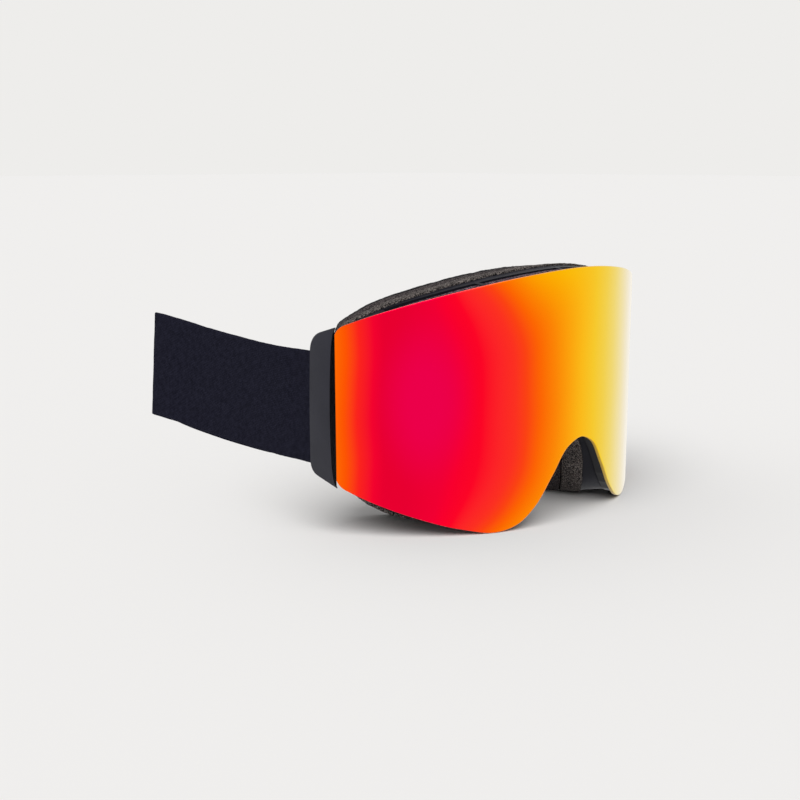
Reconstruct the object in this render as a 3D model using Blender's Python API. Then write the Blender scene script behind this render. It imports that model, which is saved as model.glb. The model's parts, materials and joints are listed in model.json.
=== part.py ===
"""Ski goggles with a one-piece cylindrical lens, standing on the lens and the cheek foam.

Lengths are in millimetres up to make_object(), which turns them into metres. X runs to the
viewer's right as the lens faces the viewer, so the wearer's right side is at -X. Y runs from
the lens (y = 0 at its front) towards the face. Z is up, with the table at z = 0.
"""

import math

import bmesh
import bpy
import numpy as np
from mathutils import Vector

MM = 0.001
ORIGIN = Vector((0.0, 80.2, 0.0))  # under the middle of the whole object
GAP = 0.35  # running gap between neighbouring pieces

# Lens: one upright cylinder. Its outline is (distance round the curve, height).
LENS_RADIUS = 100.0
TOP_EDGE = ((0.0, 101.5), (30.0, 99.4), (60.0, 94.0), (90.0, 85.9), (106.2, 80.2))
SIDE_EDGE = ((106.2, 80.2), (107.6, 48.0), (106.0, 19.4))
BOTTOM_EDGE = (
    (106.0, 19.4), (94.0, 14.2), (75.3, 7.5), (56.5, 2.2), (41.5, 0.0),
    (32.8, 2.2), (25.5, 7.7), (16.1, 20.0), (7.6, 30.5), (0.0, 33.2),
)
LENS_CORNER = 4.5
HALF_POINTS = 42
TURN_WEIGHT = 9.0  # extra outline points per radian of turn, as millimetres of length
OUTER_THICKNESS = 1.6
INNER_THICKNESS = 0.8
COLUMN_PITCH = 1.6

# Depths behind the lens front, measured square to the lens.
CARRIER_FRONT = OUTER_THICKNESS + GAP
CARRIER_BACK = 5.8
SEAT_FRONT = CARRIER_BACK + GAP
SEAT_THICKNESS = 2.2
SEAT_BACK = SEAT_FRONT + SEAT_THICKNESS
CARRIER_INSETS = (1.6, 5.2)
GASKET_INSETS = (5.8, 10.0)
INNER_LENS_INSET = 5.6
SEAT_INSETS = (2.2, 8.5)
WALL = 1.6
FLANGE_FILLET = 0.4

# Face side of the frame: its curve against the face, and how it narrows and drops.
FACE_DEPTH = 22.0
FACE_CURVE = 0.0044
TEMPLE_WRAP = 6.0
TEMPLE_POWER = 8
FACE_NARROW = 0.905
FACE_LEAN = 0.5  # share of the face slope that the foam leans by
BROW_DROP = 1.1
BROW_SAG = 0.10  # how far the foam's top falls per millimetre of its depth
BROW_HEIGHTS = (60.0, 80.0)
NOSE_FORWARD = 11.0  # how far the face side comes forward over the nose
NOSE_WIDTHS = (9.0, 38.0)
NOSE_HEIGHT = 60.0
CORNER_WIDTHS = (68.0, 89.0)
CORNER_HEIGHTS = (14.0, 32.0)  # away from the middle height of the sides
SIDE_MIDDLE = 48.0
CORNER_NARROW = {"upper": 0.055, "lower": 0.035}
CORNER_DROP = 0.4
CHEEK_HEIGHT = 20.0
CHEEK_FLATNESS = 0.35
CHEEK_SAG = 0.15
CHEEK_SAG_HEIGHT = 30.0
FLANGE_INSETS = (-0.4, 12.5)  # the foam keeps to the same lines

# Foam layers behind the flange: front and back distances.
BASE_FOAM = (GAP, 7.0)
COMFORT_FOAM = (7.0 + GAP, 16.4)
FLEECE = (16.4 + GAP, 18.2)
FOAM_BULGE = 0.4

# Vents, as shares of the way from the lens seat to the face flange.
VENT_SHARES = (0.14, 0.46)
VENT_INSETS = (-4.0, 4.3)
TOP_VENTS = ((1.0, 43.0), (45.0, 86.0))
LOWER_VENTS = ((48.5, 64.5), (68.5, 84.5))
VENT_FOAM_SHARES = (0.08, 0.56)
VENT_FOAM_INSETS = (4.4, 6.4)
VENT_FOAM_OVERRUN = 2.0

MAGNET_SIZE = (7.0, 2.2, 1.2)
MAGNET_POCKET_GAP = 0.3
MAGNET_SINK = 0.1  # how deep each magnet sits in its pocket
MAGNET_INSET = 3.9
MAGNET_PLACES = (0.10, 0.30, 0.62)  # shares of the half outline, from the brow to the nose

# Outriggers, on the wearer's right. The left ones are mirrored.
PLATE_FACE = 88.5
PLATE_THICKNESS = 2.6
PLATE_CORNERS = (
    (53.0, 20.6), (54.5, 48.0), (53.2, 79.4), (63.3, 76.6), (64.2, 48.0), (63.9, 23.0),
)
PLATE_RADII = (1.0, 60.0, 1.0, 6.5, 60.0, 4.5)
PLATE_CORNER_STEPS = 8
PLATE_BEVEL = 0.7
PLATE_RAKE = 0.9  # how much further forward the outer face reaches
PLATE_RAKED = 3  # the corners at the front, which are raked
HINGE = (83.4, 57.0)
PIN_RADIUS = 1.0
BARREL_RADIUS = 2.2
EAR_SPANS = ((30.0, 34.0), (66.0, 70.0))
BARREL_SPAN = (34.4, 65.6)
BAR = (83.2, 62.0)
BAR_RADIUS = 1.0
BAR_SPAN = (22.5, 72.3)
LUG_SPANS = ((22.2, 24.4), (70.4, 72.6))
LUG_DEPTHS = (58.6, 64.0)
LUG_REACH = 2.3
BARREL_WEB = (0.6, 1.4, 0.1)  # inward start, half thickness, end inset
EAR_WEB = (4.6, 0.8, 1.6, 0.2)  # reach, start, half thickness, end inset
JOIN_DEPTH = 0.8  # how far a joined boss runs into its plate
PIN_OVERRUN = 0.5
CUT_OVERRUN = 4.0

# Strap: elastic webbing, as points on its middle line (x, y, height of its lower edge).
STRAP_WIDTH = 45.0
STRAP_THICKNESS = 1.3
STRAP_ROUTE = (
    (-83.2, 69.0, 24.8), (-83.7, 84.0, 24.7), (-84.4, 99.0, 25.2), (-85.6, 114.0, 26.5),
    (-87.9, 130.0, 28.5), (-90.6, 143.0, 30.7), (-93.6, 152.8, 32.6), (-93.8, 159.4, 33.0),
    (-89.2, 159.0, 31.6), (-83.0, 147.0, 27.0), (-76.0, 131.5, 22.3), (-60.0, 120.0, 16.0),
    (-38.0, 118.0, 12.0), (-10.0, 120.5, 10.5), (20.0, 126.5, 11.5), (48.0, 134.5, 14.2),
    (70.0, 140.5, 17.6), (85.0, 139.0, 21.8), (91.6, 130.5, 24.4),
)
STRAP_STEPS = 4
STRAP_START_REACH = 15.0  # how far ahead of the strap its starting direction is aimed
LEFT_RUN_START = (92.4, 124.0)  # the straight stretch that the slider runs on
LEFT_RUN_END = (83.6, 69.0)
STRAP_HEIGHT_AT_EAR = 24.8
LOOP_TAIL = 67.6
LOOP_RADIUS = 1.3
LOOP_STEPS = 12
LOOP_WAIST = (0.9, 1.6)  # share of the loop's width, and distance behind the bar
GRIP_HEIGHTS = (9.0, 22.3, 35.6)
GRIP_SPAN = (0.42, 0.70)  # shares of the strap's length
GRIP_WIDTH = 1.6
GRIP_THICKNESS = 0.5

# Slider: side bars on the outer face of the strap, centre bar on the inner face.
SLIDER_PLACE = 14.0  # from the back end of the straight stretch
SLIDER_TRAVEL = 14.0  # towards the outrigger
SLIDER_LENGTH = 17.0
SLIDER_BAR = 2.4
SLIDER_RIM = 2.6
SLIDER_CLEARANCE = 0.5
RETURN_END = 1.5
RETURN_GAP = 0.4
BAR_INSET = 0.2

SIDES = {"right": -1.0, "left": 1.0}


def clear_scene():
    for obj in list(bpy.data.objects):
        bpy.data.objects.remove(obj, do_unlink=True)


def make_material(name, color, roughness, metallic=0.0, transmission=0.0):
    material = bpy.data.materials.new(name)
    material.use_nodes = True
    shader = material.node_tree.nodes["Principled BSDF"]
    shader.inputs["Base Color"].default_value = (*color, 1.0)
    shader.inputs["Roughness"].default_value = roughness
    shader.inputs["Metallic"].default_value = metallic
    shader.inputs["Transmission Weight"].default_value = transmission
    material.diffuse_color = (*color, 1.0)
    return material


def make_materials():
    return {
        "mirror_lens": make_material("mirror_lens", (0.85, 0.10, 0.03), 0.08, 0.9),
        "clear_lens": make_material("clear_lens", (0.30, 0.22, 0.18), 0.05, 0.0, 0.8),
        "gasket": make_material("gasket", (0.03, 0.03, 0.03), 0.95),
        "frame": make_material("frame", (0.02, 0.021, 0.028), 0.5),
        "carrier": make_material("carrier", (0.025, 0.025, 0.03), 0.4),
        "magnet": make_material("magnet", (0.60, 0.60, 0.62), 0.25, 1.0),
        "foam": make_material("foam", (0.07, 0.07, 0.075), 0.95),
        "fleece": make_material("fleece", (0.03, 0.03, 0.033), 1.0),
        "outrigger": make_material("outrigger", (0.035, 0.035, 0.042), 0.55),
        "steel": make_material("steel", (0.55, 0.55, 0.57), 0.3, 1.0),
        "strap": make_material("strap", (0.012, 0.014, 0.025), 0.9),
        "grip": make_material("grip", (0.05, 0.05, 0.055), 0.45),
        "slider": make_material("slider", (0.02, 0.02, 0.022), 0.4),
    }


def make_object(name, points, faces, material, pivot=(0.0, 0.0, 0.0)):
    """A closed mesh object with its origin at pivot and its faces turned outwards."""
    pivot = Vector(pivot)
    mesh = bpy.data.meshes.new(name)
    mesh.from_pydata([(Vector(p) - pivot) * MM for p in points], [], faces)
    shell = bmesh.new()
    shell.from_mesh(mesh)
    bmesh.ops.recalc_face_normals(shell, faces=shell.faces)
    shell.to_mesh(mesh)
    shell.free()
    mesh.shade_smooth()
    mesh.set_sharp_from_angle(angle=math.radians(35))
    if material is not None:
        mesh.materials.append(material)
    obj = bpy.data.objects.new(name, mesh)
    obj.location = (pivot - ORIGIN) * MM
    bpy.context.scene.collection.objects.link(obj)
    return obj


def loft(sections, closed=False):
    """Points and faces of a body swept through equal sections, capped unless it closes.

    The second half of each section starts its faces one corner on, so that facing sides of
    nested rings split along the same diagonals and keep their gap.
    """
    count = len(sections[0])
    points = [tuple(point) for section in sections for point in section]
    spans = len(sections) if closed else len(sections) - 1
    faces = []
    for i in range(spans):
        here = i * count
        there = (i + 1) % len(sections) * count
        for j in range(count):
            k = (j + 1) % count
            if j < count // 2:
                faces.append((here + j, here + k, there + k, there + j))
            else:
                faces.append((here + k, there + k, there + j, here + j))
    if not closed:
        faces.append(tuple(range(count))[::-1])
        faces.append(tuple(range(len(points) - count, len(points))))
    return points, faces


def boolean(obj, other, operation):
    """Cuts other from obj or joins it to obj, and keeps other as a hidden helper."""
    other.hide_render = True
    other.display_type = "WIRE"
    modifier = obj.modifiers.new(other.name, "BOOLEAN")
    modifier.operation = operation
    modifier.object = other


def curve_through(points, steps, before=None, after=None):
    """A smooth curve through points, with steps per span. before and after set its end slopes."""
    knots = [np.array(p, float) for p in points]
    first = np.array(before, float) if before else 2 * knots[0] - knots[1]
    last = np.array(after, float) if after else 2 * knots[-1] - knots[-2]
    padded = [first, *knots, last]
    slopes = []
    for i in range(1, len(padded) - 1):
        back = padded[i] - padded[i - 1]
        ahead = padded[i + 1] - padded[i]
        d0 = np.linalg.norm(back)
        d1 = np.linalg.norm(ahead)
        slopes.append((ahead / d1 * d0 + back / d0 * d1) / (d0 + d1))
    curve = []
    for i in range(len(knots) - 1):
        span = np.linalg.norm(knots[i + 1] - knots[i])
        for t in np.arange(steps) / steps:
            value = (2 * t**3 - 3 * t**2 + 1) * knots[i] + (3 * t**2 - 2 * t**3) * knots[i + 1]
            value = value + (t**3 - 2 * t**2 + t) * span * slopes[i]
            curve.append(value + (t**3 - t**2) * span * slopes[i + 1])
    curve.append(knots[-1])
    return np.array(curve)


def lengths_along(points):
    steps = np.linalg.norm(np.diff(points, axis=0), axis=1)
    return np.concatenate([[0.0], np.cumsum(steps)])


def point_at(points, length):
    along = lengths_along(points)
    return np.array([np.interp(length, along, column) for column in points.T])


def rounded_join(first, second, radius, steps=6):
    """Joins two curves that meet at a corner, with the corner rounded off."""
    reach = lengths_along(first)[-1] - radius
    start = point_at(first, reach)
    end = point_at(second, radius)
    corner = first[-1]
    arc = []
    for t in np.linspace(0.0, 1.0, steps + 1):
        arc.append((1 - t) ** 2 * start + 2 * t * (1 - t) * corner + t**2 * end)
    head = first[lengths_along(first) < reach]
    tail = second[lengths_along(second) > radius]
    return np.concatenate([head, arc, tail])


def resampled(points, count):
    """count points along a curve, closer together where it turns."""
    steps = np.diff(points, axis=0)
    angles = np.unwrap(np.arctan2(steps[:, 1], steps[:, 0]))
    turns = np.abs(np.diff(angles, prepend=angles[0]))
    weights = np.linalg.norm(steps, axis=1) + TURN_WEIGHT * turns
    along = np.concatenate([[0.0], np.cumsum(weights)])
    places = np.linspace(0.0, along[-1], count)
    return np.stack([np.interp(places, along, column) for column in points.T], axis=1)


def half_outline():
    """The lens outline on the +X side, from the middle of the brow to the top of the nose arch."""
    first = TOP_EDGE[1]
    nose = BOTTOM_EDGE[-2]
    top = curve_through(TOP_EDGE, 16, before=(-first[0], first[1]))
    side = curve_through(SIDE_EDGE, 16)
    bottom = curve_through(BOTTOM_EDGE, 10, after=(-nose[0], nose[1]))
    joined = rounded_join(rounded_join(top, side, LENS_CORNER), bottom, LENS_CORNER)
    return resampled(joined, HALF_POINTS)


def whole_outline():
    half = half_outline()
    mirrored = half[1:-1][::-1] * (-1.0, 1.0)
    return np.concatenate([half, mirrored])


def inset_outline(inset):
    """The outline moved inwards. Wide insets smooth the corners, so that they never cross."""
    outline = whole_outline()
    ahead = np.roll(outline, -1, axis=0)
    tangents = ahead - np.roll(outline, 1, axis=0)
    normals = np.stack([tangents[:, 1], -tangents[:, 0]], axis=1)
    normals /= np.linalg.norm(normals, axis=1)[:, None]
    steps = np.linalg.norm(ahead - outline, axis=1)
    along = np.concatenate([[0.0], np.cumsum(steps)[:-1]])
    apart = np.abs(along[:, None] - along[None, :])
    apart = np.minimum(apart, steps.sum() - apart)
    width = max(0.9 * inset, 0.5)
    weights = np.exp(-0.5 * (apart / width) ** 2) * steps[None, :]
    smooth = weights @ normals
    smooth /= np.linalg.norm(smooth, axis=1)[:, None]
    return outline + inset * smooth


def on_lens(outline, depth):
    """Outline points set on the lens cylinder, depth behind its front."""
    angle = outline[:, 0] / LENS_RADIUS
    radius = LENS_RADIUS - depth
    x = radius * np.sin(angle)
    y = LENS_RADIUS - radius * np.cos(angle)
    return np.stack([x, y, outline[:, 1]], axis=1)


def smooth_step(values, low, high):
    share = np.clip((values - low) / (high - low), 0.0, 1.0)
    return share**2 * (3 - 2 * share)


def on_face(outline, back):
    """Outline points set on the face side of the frame, back behind its flange."""
    height = outline[:, 1]
    wide = LENS_RADIUS * np.sin(outline[:, 0] / LENS_RADIUS)
    edge = np.abs(wide) / PLATE_FACE
    nose = (1 - smooth_step(np.abs(wide), *NOSE_WIDTHS)) * (height < NOSE_HEIGHT)
    y = FACE_DEPTH + FACE_CURVE * wide**2 + TEMPLE_WRAP * edge**TEMPLE_POWER
    y = y - NOSE_FORWARD * nose
    wrap = TEMPLE_WRAP * TEMPLE_POWER * edge ** (TEMPLE_POWER - 1) / PLATE_FACE * np.sign(wide)
    slope = (2 * FACE_CURVE * wide + wrap) / FACE_NARROW
    lean = np.stack([-FACE_LEAN * slope, np.ones_like(slope)], axis=1)
    lean /= np.linalg.norm(lean, axis=1)[:, None]
    low = height * (CHEEK_FLATNESS + (1 - CHEEK_FLATNESS) * height / CHEEK_HEIGHT)
    high = height - BROW_DROP * (height - CHEEK_HEIGHT) / (TOP_EDGE[0][1] - CHEEK_HEIGHT)
    z = np.where(height < CHEEK_HEIGHT, low, high)
    z = z - CHEEK_SAG * back * np.clip(1 - height / CHEEK_SAG_HEIGHT, 0.0, 1.0)
    z = z - BROW_SAG * back * smooth_step(height, *BROW_HEIGHTS)
    corner = smooth_step(np.abs(wide), *CORNER_WIDTHS)
    corner = corner * smooth_step(np.abs(height - SIDE_MIDDLE), *CORNER_HEIGHTS)
    upper = height > SIDE_MIDDLE
    z = z - CORNER_DROP * corner * upper
    narrow = np.where(upper, CORNER_NARROW["upper"], CORNER_NARROW["lower"])
    x = FACE_NARROW * wide * (1 - narrow * corner) + lean[:, 0] * back
    return np.stack([x, y + lean[:, 1] * back, np.maximum(z, 0.0)], axis=1)


def rail(inset, depth=0.0, back=0.0, share=0.0):
    """A closed line round the goggles: share 0 lies on the lens, share 1 on the face side."""
    outline = inset_outline(inset)
    return (1 - share) * on_lens(outline, depth) + share * on_face(outline, back)


def make_ring(name, rails, material):
    points, faces = loft(np.stack(rails, axis=1), closed=True)
    return make_object(name, points, faces, material)


def make_stretch(name, rails, low, high, upper, material):
    """A body along the outline's upper or lower edge, from distance low to high round the lens."""
    outline = whole_outline()
    middle = 0.5 * (TOP_EDGE[-1][1] + BOTTOM_EDGE[0][1])
    same_edge = np.flatnonzero((outline[:, 1] > middle) == upper)
    order = same_edge[np.argsort(outline[same_edge, 0])]
    places = outline[order, 0]
    inside = places[(places > low + GAP) & (places < high - GAP)]
    stacked = np.stack(rails, axis=1)[order]
    sections = []
    for place in (low, *inside, high):
        after = int(np.searchsorted(places, place))
        share = (place - places[after - 1]) / (places[after] - places[after - 1])
        sections.append((1 - share) * stacked[after - 1] + share * stacked[after])
    points, faces = loft(sections)
    return make_object(name, points, faces, material)


def make_lens_plate(name, inset, front, back, material):
    """A curved plate with the inset lens outline, made of upright columns."""
    half = inset_outline(inset)[:HALF_POINTS]
    widest = int(np.argmax(half[:, 0]))
    upper = half[: widest + 1]
    lower = half[widest:][::-1]
    places = [0.0]
    for place in np.sort(half[:, 0]):
        if place - places[-1] > COLUMN_PITCH:
            places.append(place)
    places[-1] = half[widest, 0] - GAP
    places = np.concatenate([-np.array(places[1:])[::-1], places])
    tops = np.interp(np.abs(places), upper[:, 0], upper[:, 1])
    bottoms = np.interp(np.abs(places), lower[:, 0], lower[:, 1])
    low_line = np.stack([places, bottoms], axis=1)
    high_line = np.stack([places, tops], axis=1)
    lines = (
        on_lens(low_line, front),
        on_lens(high_line, front),
        on_lens(high_line, back),
        on_lens(low_line, back),
    )
    points, faces = loft(np.stack(lines, axis=1))
    return make_object(name, points, faces, material)


def make_lens(materials):
    make_lens_plate("outer_lens", 0.0, 0.0, OUTER_THICKNESS, materials["mirror_lens"])
    inner_front = CARRIER_BACK - INNER_THICKNESS
    make_lens_plate("inner_lens", INNER_LENS_INSET, inner_front, CARRIER_BACK, materials["clear_lens"])
    near, far = GASKET_INSETS
    gasket_back = inner_front - GAP
    gasket = (
        rail(near, CARRIER_FRONT), rail(far, CARRIER_FRONT),
        rail(far, gasket_back), rail(near, gasket_back),
    )
    make_ring("lens_gasket", gasket, materials["gasket"])
    near, far = CARRIER_INSETS
    carrier = (
        rail(near, CARRIER_FRONT), rail(far, CARRIER_FRONT),
        rail(far, CARRIER_BACK), rail(near, CARRIER_BACK),
    )
    return make_ring("lens_carrier", carrier, materials["carrier"])


def make_frame(materials):
    near, far = SEAT_INSETS
    outer, inner = FLANGE_INSETS
    profile = (
        rail(near, SEAT_FRONT), rail(far, SEAT_FRONT), rail(far, SEAT_BACK),
        rail(near + WALL, SEAT_BACK),
        rail(outer + WALL + FLANGE_FILLET, back=-WALL, share=1.0),
        rail(inner, back=-WALL, share=1.0), rail(inner, share=1.0),
        rail(outer, share=1.0), rail(outer, back=-WALL, share=1.0),
    )
    return make_ring("face_frame", profile, materials["frame"])


def vent_rails(insets, shares):
    near, far = insets
    start, end = shares
    return [
        rail(near, SEAT_BACK, 0.0, start), rail(far, SEAT_BACK, 0.0, start),
        rail(far, SEAT_BACK, 0.0, end), rail(near, SEAT_BACK, 0.0, end),
    ]


def cut_vents(frame, materials):
    """Vent windows through the frame wall, each row backed by one strip of foam."""
    window = vent_rails(VENT_INSETS, VENT_SHARES)
    foam = vent_rails(VENT_FOAM_INSETS, VENT_FOAM_SHARES)
    left_top = mirrored_spans(TOP_VENTS)
    rows = (
        ("top", (*left_top, *TOP_VENTS), True),
        ("lower_left", LOWER_VENTS, False),
        ("lower_right", mirrored_spans(LOWER_VENTS), False),
    )
    for name, spans, upper in rows:
        for number, (low, high) in enumerate(spans, start=1):
            cutter = make_stretch(f"cut_{name}_vent_{number}", window, low, high, upper, None)
            boolean(frame, cutter, "DIFFERENCE")
        ends = [end for span in spans for end in span]
        low = min(ends) - VENT_FOAM_OVERRUN
        high = max(ends) + VENT_FOAM_OVERRUN
        make_stretch(f"{name}_vent_foam", foam, low, high, upper, materials["foam"])


def mirrored_spans(spans):
    return tuple((-high, -low) for low, high in spans)


def make_face_foam(materials):
    layers = (
        ("face_foam_base", BASE_FOAM, materials["foam"]),
        ("face_foam_comfort", COMFORT_FOAM, materials["foam"]),
        ("face_fleece", FLEECE, materials["fleece"]),
    )
    outer, inner = FLANGE_INSETS
    for name, (front, back), material in layers:
        middle = 0.5 * (front + back)
        rails = (
            rail(outer, back=front, share=1.0), rail(inner, back=front, share=1.0),
            rail(inner, back=back, share=1.0), rail(outer, back=back, share=1.0),
            rail(outer - FOAM_BULGE, back=middle, share=1.0),
        )
        make_ring(name, rails, material)


def block_at(name, place, across, size, material, pivot=(0.0, 0.0, 0.0)):
    """A block centred at place. across is its long direction and the third size lies behind it."""
    along = Vector(across).normalized()
    depth = Vector((place[0], place[1] - LENS_RADIUS, 0.0)).normalized()
    side = along.cross(depth).normalized()
    corners = []
    for w in (-0.5, 0.5):
        for u, v in ((-0.5, -0.5), (0.5, -0.5), (0.5, 0.5), (-0.5, 0.5)):
            corner = along * (u * size[0]) + side * (v * size[1]) + depth * (w * size[2])
            corners.append(Vector(place) + corner)
    points, faces = loft([corners[:4], corners[4:]])
    return make_object(name, points, faces, material, pivot)


def make_magnets(carrier, frame, materials):
    """Facing pairs of magnets, each in a pocket of the lens carrier or of the frame seat."""
    pocket = [size + 2 * MAGNET_POCKET_GAP for size in MAGNET_SIZE]
    half_depth = MAGNET_SIZE[2] / 2
    lens_depth = CARRIER_BACK - half_depth - MAGNET_SINK
    frame_depth = SEAT_FRONT + half_depth + MAGNET_SINK
    number = 0
    for share in MAGNET_PLACES:
        index = round(share * (HALF_POINTS - 1))
        for mirror in (index, -index):
            number += 1
            rows = (("lens", lens_depth, carrier), ("frame", frame_depth, frame))
            for owner, depth, holder in rows:
                line = rail(MAGNET_INSET, depth)
                across = line[mirror + 1] - line[mirror - 1]
                place = line[mirror]
                cutter = block_at(f"cut_{owner}_pocket_{number}", place, across, pocket, None)
                boolean(holder, cutter, "DIFFERENCE")
                name = f"{owner}_magnet_{number}"
                block_at(name, place, across, MAGNET_SIZE, materials["magnet"])


def rounded_polygon(corners, radii, steps=4):
    """A polygon's points with each corner rounded off by its own radius."""
    points = []
    count = len(corners)
    for i, corner in enumerate(corners):
        here = np.array(corner)
        to_last = np.array(corners[i - 1]) - here
        to_next = np.array(corners[(i + 1) % count]) - here
        longest = 0.45 * min(np.linalg.norm(to_last), np.linalg.norm(to_next))
        reach = min(radii[i], longest)
        start = here + to_last / np.linalg.norm(to_last) * reach
        end = here + to_next / np.linalg.norm(to_next) * reach
        for t in np.linspace(0.0, 1.0, steps + 1):
            points.append((1 - t) ** 2 * start + 2 * t * (1 - t) * here + t**2 * end)
    return points


def round_section(centre, radius, z, sides=16):
    turns = [2 * math.pi * i / sides for i in range(sides)]
    return [(centre[0] + radius * math.cos(a), centre[1] + radius * math.sin(a), z) for a in turns]


def make_rod(name, centre, radius, span, material, pivot=(0.0, 0.0, 0.0)):
    low, high = span
    chamfer = 0.3 * radius
    rings = (
        (radius - chamfer, low), (radius, low + chamfer),
        (radius, high - chamfer), (radius - chamfer, high),
    )
    points, faces = loft([round_section(centre, r, z) for r, z in rings])
    return make_object(name, points, faces, material, pivot)


def make_box(name, low, high, material, pivot=(0.0, 0.0, 0.0)):
    (x0, y0, z0), (x1, y1, z1) = low, high
    lower = [(x0, y0, z0), (x1, y0, z0), (x1, y1, z0), (x0, y1, z0)]
    upper = [(x, y, z1) for x, y, _ in lower]
    points, faces = loft([lower, upper])
    return make_object(name, points, faces, material, pivot)


def make_side_box(name, sign, low, high, material, pivot):
    """A box given on the +X side, mirrored when sign is negative."""
    first = (sign * low[0], low[1], low[2])
    second = (sign * high[0], high[1], high[2])
    return make_box(name, first, second, material, pivot)


def grown(span, by):
    return (span[0] - by, span[1] + by)


def make_outrigger(side, materials):
    sign = SIDES[side]
    pivot = (sign * HINGE[0], HINGE[1], 0.0)
    inner_face = PLATE_FACE - PLATE_THICKNESS
    raked = [(y - PLATE_RAKE, z) for y, z in PLATE_CORNERS[:PLATE_RAKED]]
    raked += PLATE_CORNERS[PLATE_RAKED:]
    sections = []
    for x, corners in ((PLATE_FACE, raked), (inner_face, PLATE_CORNERS)):
        outline = rounded_polygon(corners, PLATE_RADII, PLATE_CORNER_STEPS)
        sections.append([(sign * x, y, z) for y, z in outline])
    points, faces = loft(sections)
    plate = make_object(f"{side}_outrigger", points, faces, materials["outrigger"], pivot)
    bevel = plate.modifiers.new("edge", "BEVEL")
    bevel.width = PLATE_BEVEL * MM
    bevel.segments = 3
    bevel.limit_method = "ANGLE"
    joined = inner_face + JOIN_DEPTH
    for number, (low, high) in enumerate(LUG_SPANS, start=1):
        near = (BAR[0] - LUG_REACH, LUG_DEPTHS[0], low)
        far = (joined, LUG_DEPTHS[1], high)
        lug = make_side_box(f"join_{side}_lug_{number}", sign, near, far, None, pivot)
        boolean(plate, lug, "UNION")
    start, half, inset = BARREL_WEB
    near = (HINGE[0] + start, HINGE[1] - half, BARREL_SPAN[0] + inset)
    far = (joined, HINGE[1] + half, BARREL_SPAN[1] - inset)
    web = make_side_box(f"join_{side}_web", sign, near, far, None, pivot)
    boolean(plate, web, "UNION")
    centre = (sign * HINGE[0], HINGE[1])
    barrel = make_rod(f"join_{side}_barrel", centre, BARREL_RADIUS, BARREL_SPAN, None, pivot)
    boolean(plate, barrel, "UNION")
    long_span = grown(BARREL_SPAN, CUT_OVERRUN)
    hole = make_rod(f"cut_{side}_barrel", centre, PIN_RADIUS + GAP, long_span, None, pivot)
    boolean(plate, hole, "DIFFERENCE")
    bar_centre = (sign * BAR[0], BAR[1])
    long_span = grown(BAR_SPAN, CUT_OVERRUN)
    seat = make_rod(f"cut_{side}_bar", bar_centre, BAR_RADIUS + GAP, long_span, None, pivot)
    boolean(plate, seat, "DIFFERENCE")
    make_rod(f"{side}_strap_bar", bar_centre, BAR_RADIUS, BAR_SPAN, materials["steel"], pivot)


def make_hinge(side, frame, materials):
    """The frame's two ears and the pin that carries the outrigger's barrel."""
    sign = SIDES[side]
    centre = (sign * HINGE[0], HINGE[1])
    reach, start, half, inset = EAR_WEB
    for number, span in enumerate(EAR_SPANS, start=1):
        ear = make_rod(f"join_{side}_ear_{number}", centre, BARREL_RADIUS, span, None)
        boolean(frame, ear, "UNION")
        low = (HINGE[0] - reach, HINGE[1] - half, span[0] + inset)
        high = (HINGE[0] - start, HINGE[1] + half, span[1] - inset)
        web = make_side_box(f"join_{side}_ear_web_{number}", sign, low, high, None, (0.0, 0.0, 0.0))
        boolean(frame, web, "UNION")
    whole = (EAR_SPANS[0][0], EAR_SPANS[1][1])
    long_span = grown(whole, CUT_OVERRUN)
    hole = make_rod(f"cut_{side}_ear", centre, PIN_RADIUS + GAP, long_span, None)
    boolean(frame, hole, "DIFFERENCE")
    pin_span = grown(whole, PIN_OVERRUN)
    make_rod(f"{side}_hinge_pin", centre, PIN_RADIUS, pin_span, materials["steel"])


def ribbon_sections(route, thickness, low, high, offset=0.0):
    """Upright sections of a band along route, from low to high above it. offset is headwards."""
    tangents = np.gradient(route[:, :2], axis=0)
    tangents /= np.linalg.norm(tangents, axis=1)[:, None]
    headward = np.stack([tangents[:, 1], -tangents[:, 0]], axis=1)
    sections = []
    for point, normal in zip(route, headward):
        near = point[:2] + normal * (offset - thickness / 2)
        far = point[:2] + normal * (offset + thickness / 2)
        bottom = point[2] + low
        top = point[2] + high
        sections.append([(*near, bottom), (*far, bottom), (*far, top), (*near, top)])
    return sections


def strap_route():
    """The strap's middle line, from the right outrigger round the back to the left one."""
    start = STRAP_ROUTE[0]
    ahead = (*LEFT_RUN_START, STRAP_ROUTE[-1][2])
    before = (start[0], start[1] - STRAP_START_REACH, start[2])
    curve = curve_through(STRAP_ROUTE, STRAP_STEPS, before=before, after=ahead)
    run = np.array([(*LEFT_RUN_START, STRAP_HEIGHT_AT_EAR), (*LEFT_RUN_END, STRAP_HEIGHT_AT_EAR)])
    return np.concatenate([curve, run])


def make_strap(materials):
    route = strap_route()
    points, faces = loft(ribbon_sections(route, STRAP_THICKNESS, 0.0, STRAP_WIDTH))
    make_object("strap", points, faces, materials["strap"])
    along = lengths_along(route)
    low_share, high_share = GRIP_SPAN
    gripped = (along > low_share * along[-1]) & (along < high_share * along[-1])
    offset = (STRAP_THICKNESS + GRIP_THICKNESS) / 2 + GAP
    for number, height in enumerate(GRIP_HEIGHTS, start=1):
        low = height - GRIP_WIDTH / 2
        sections = ribbon_sections(route[gripped], GRIP_THICKNESS, low, low + GRIP_WIDTH, offset)
        points, faces = loft(sections)
        make_object(f"strap_grip_{number}", points, faces, materials["grip"])


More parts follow.
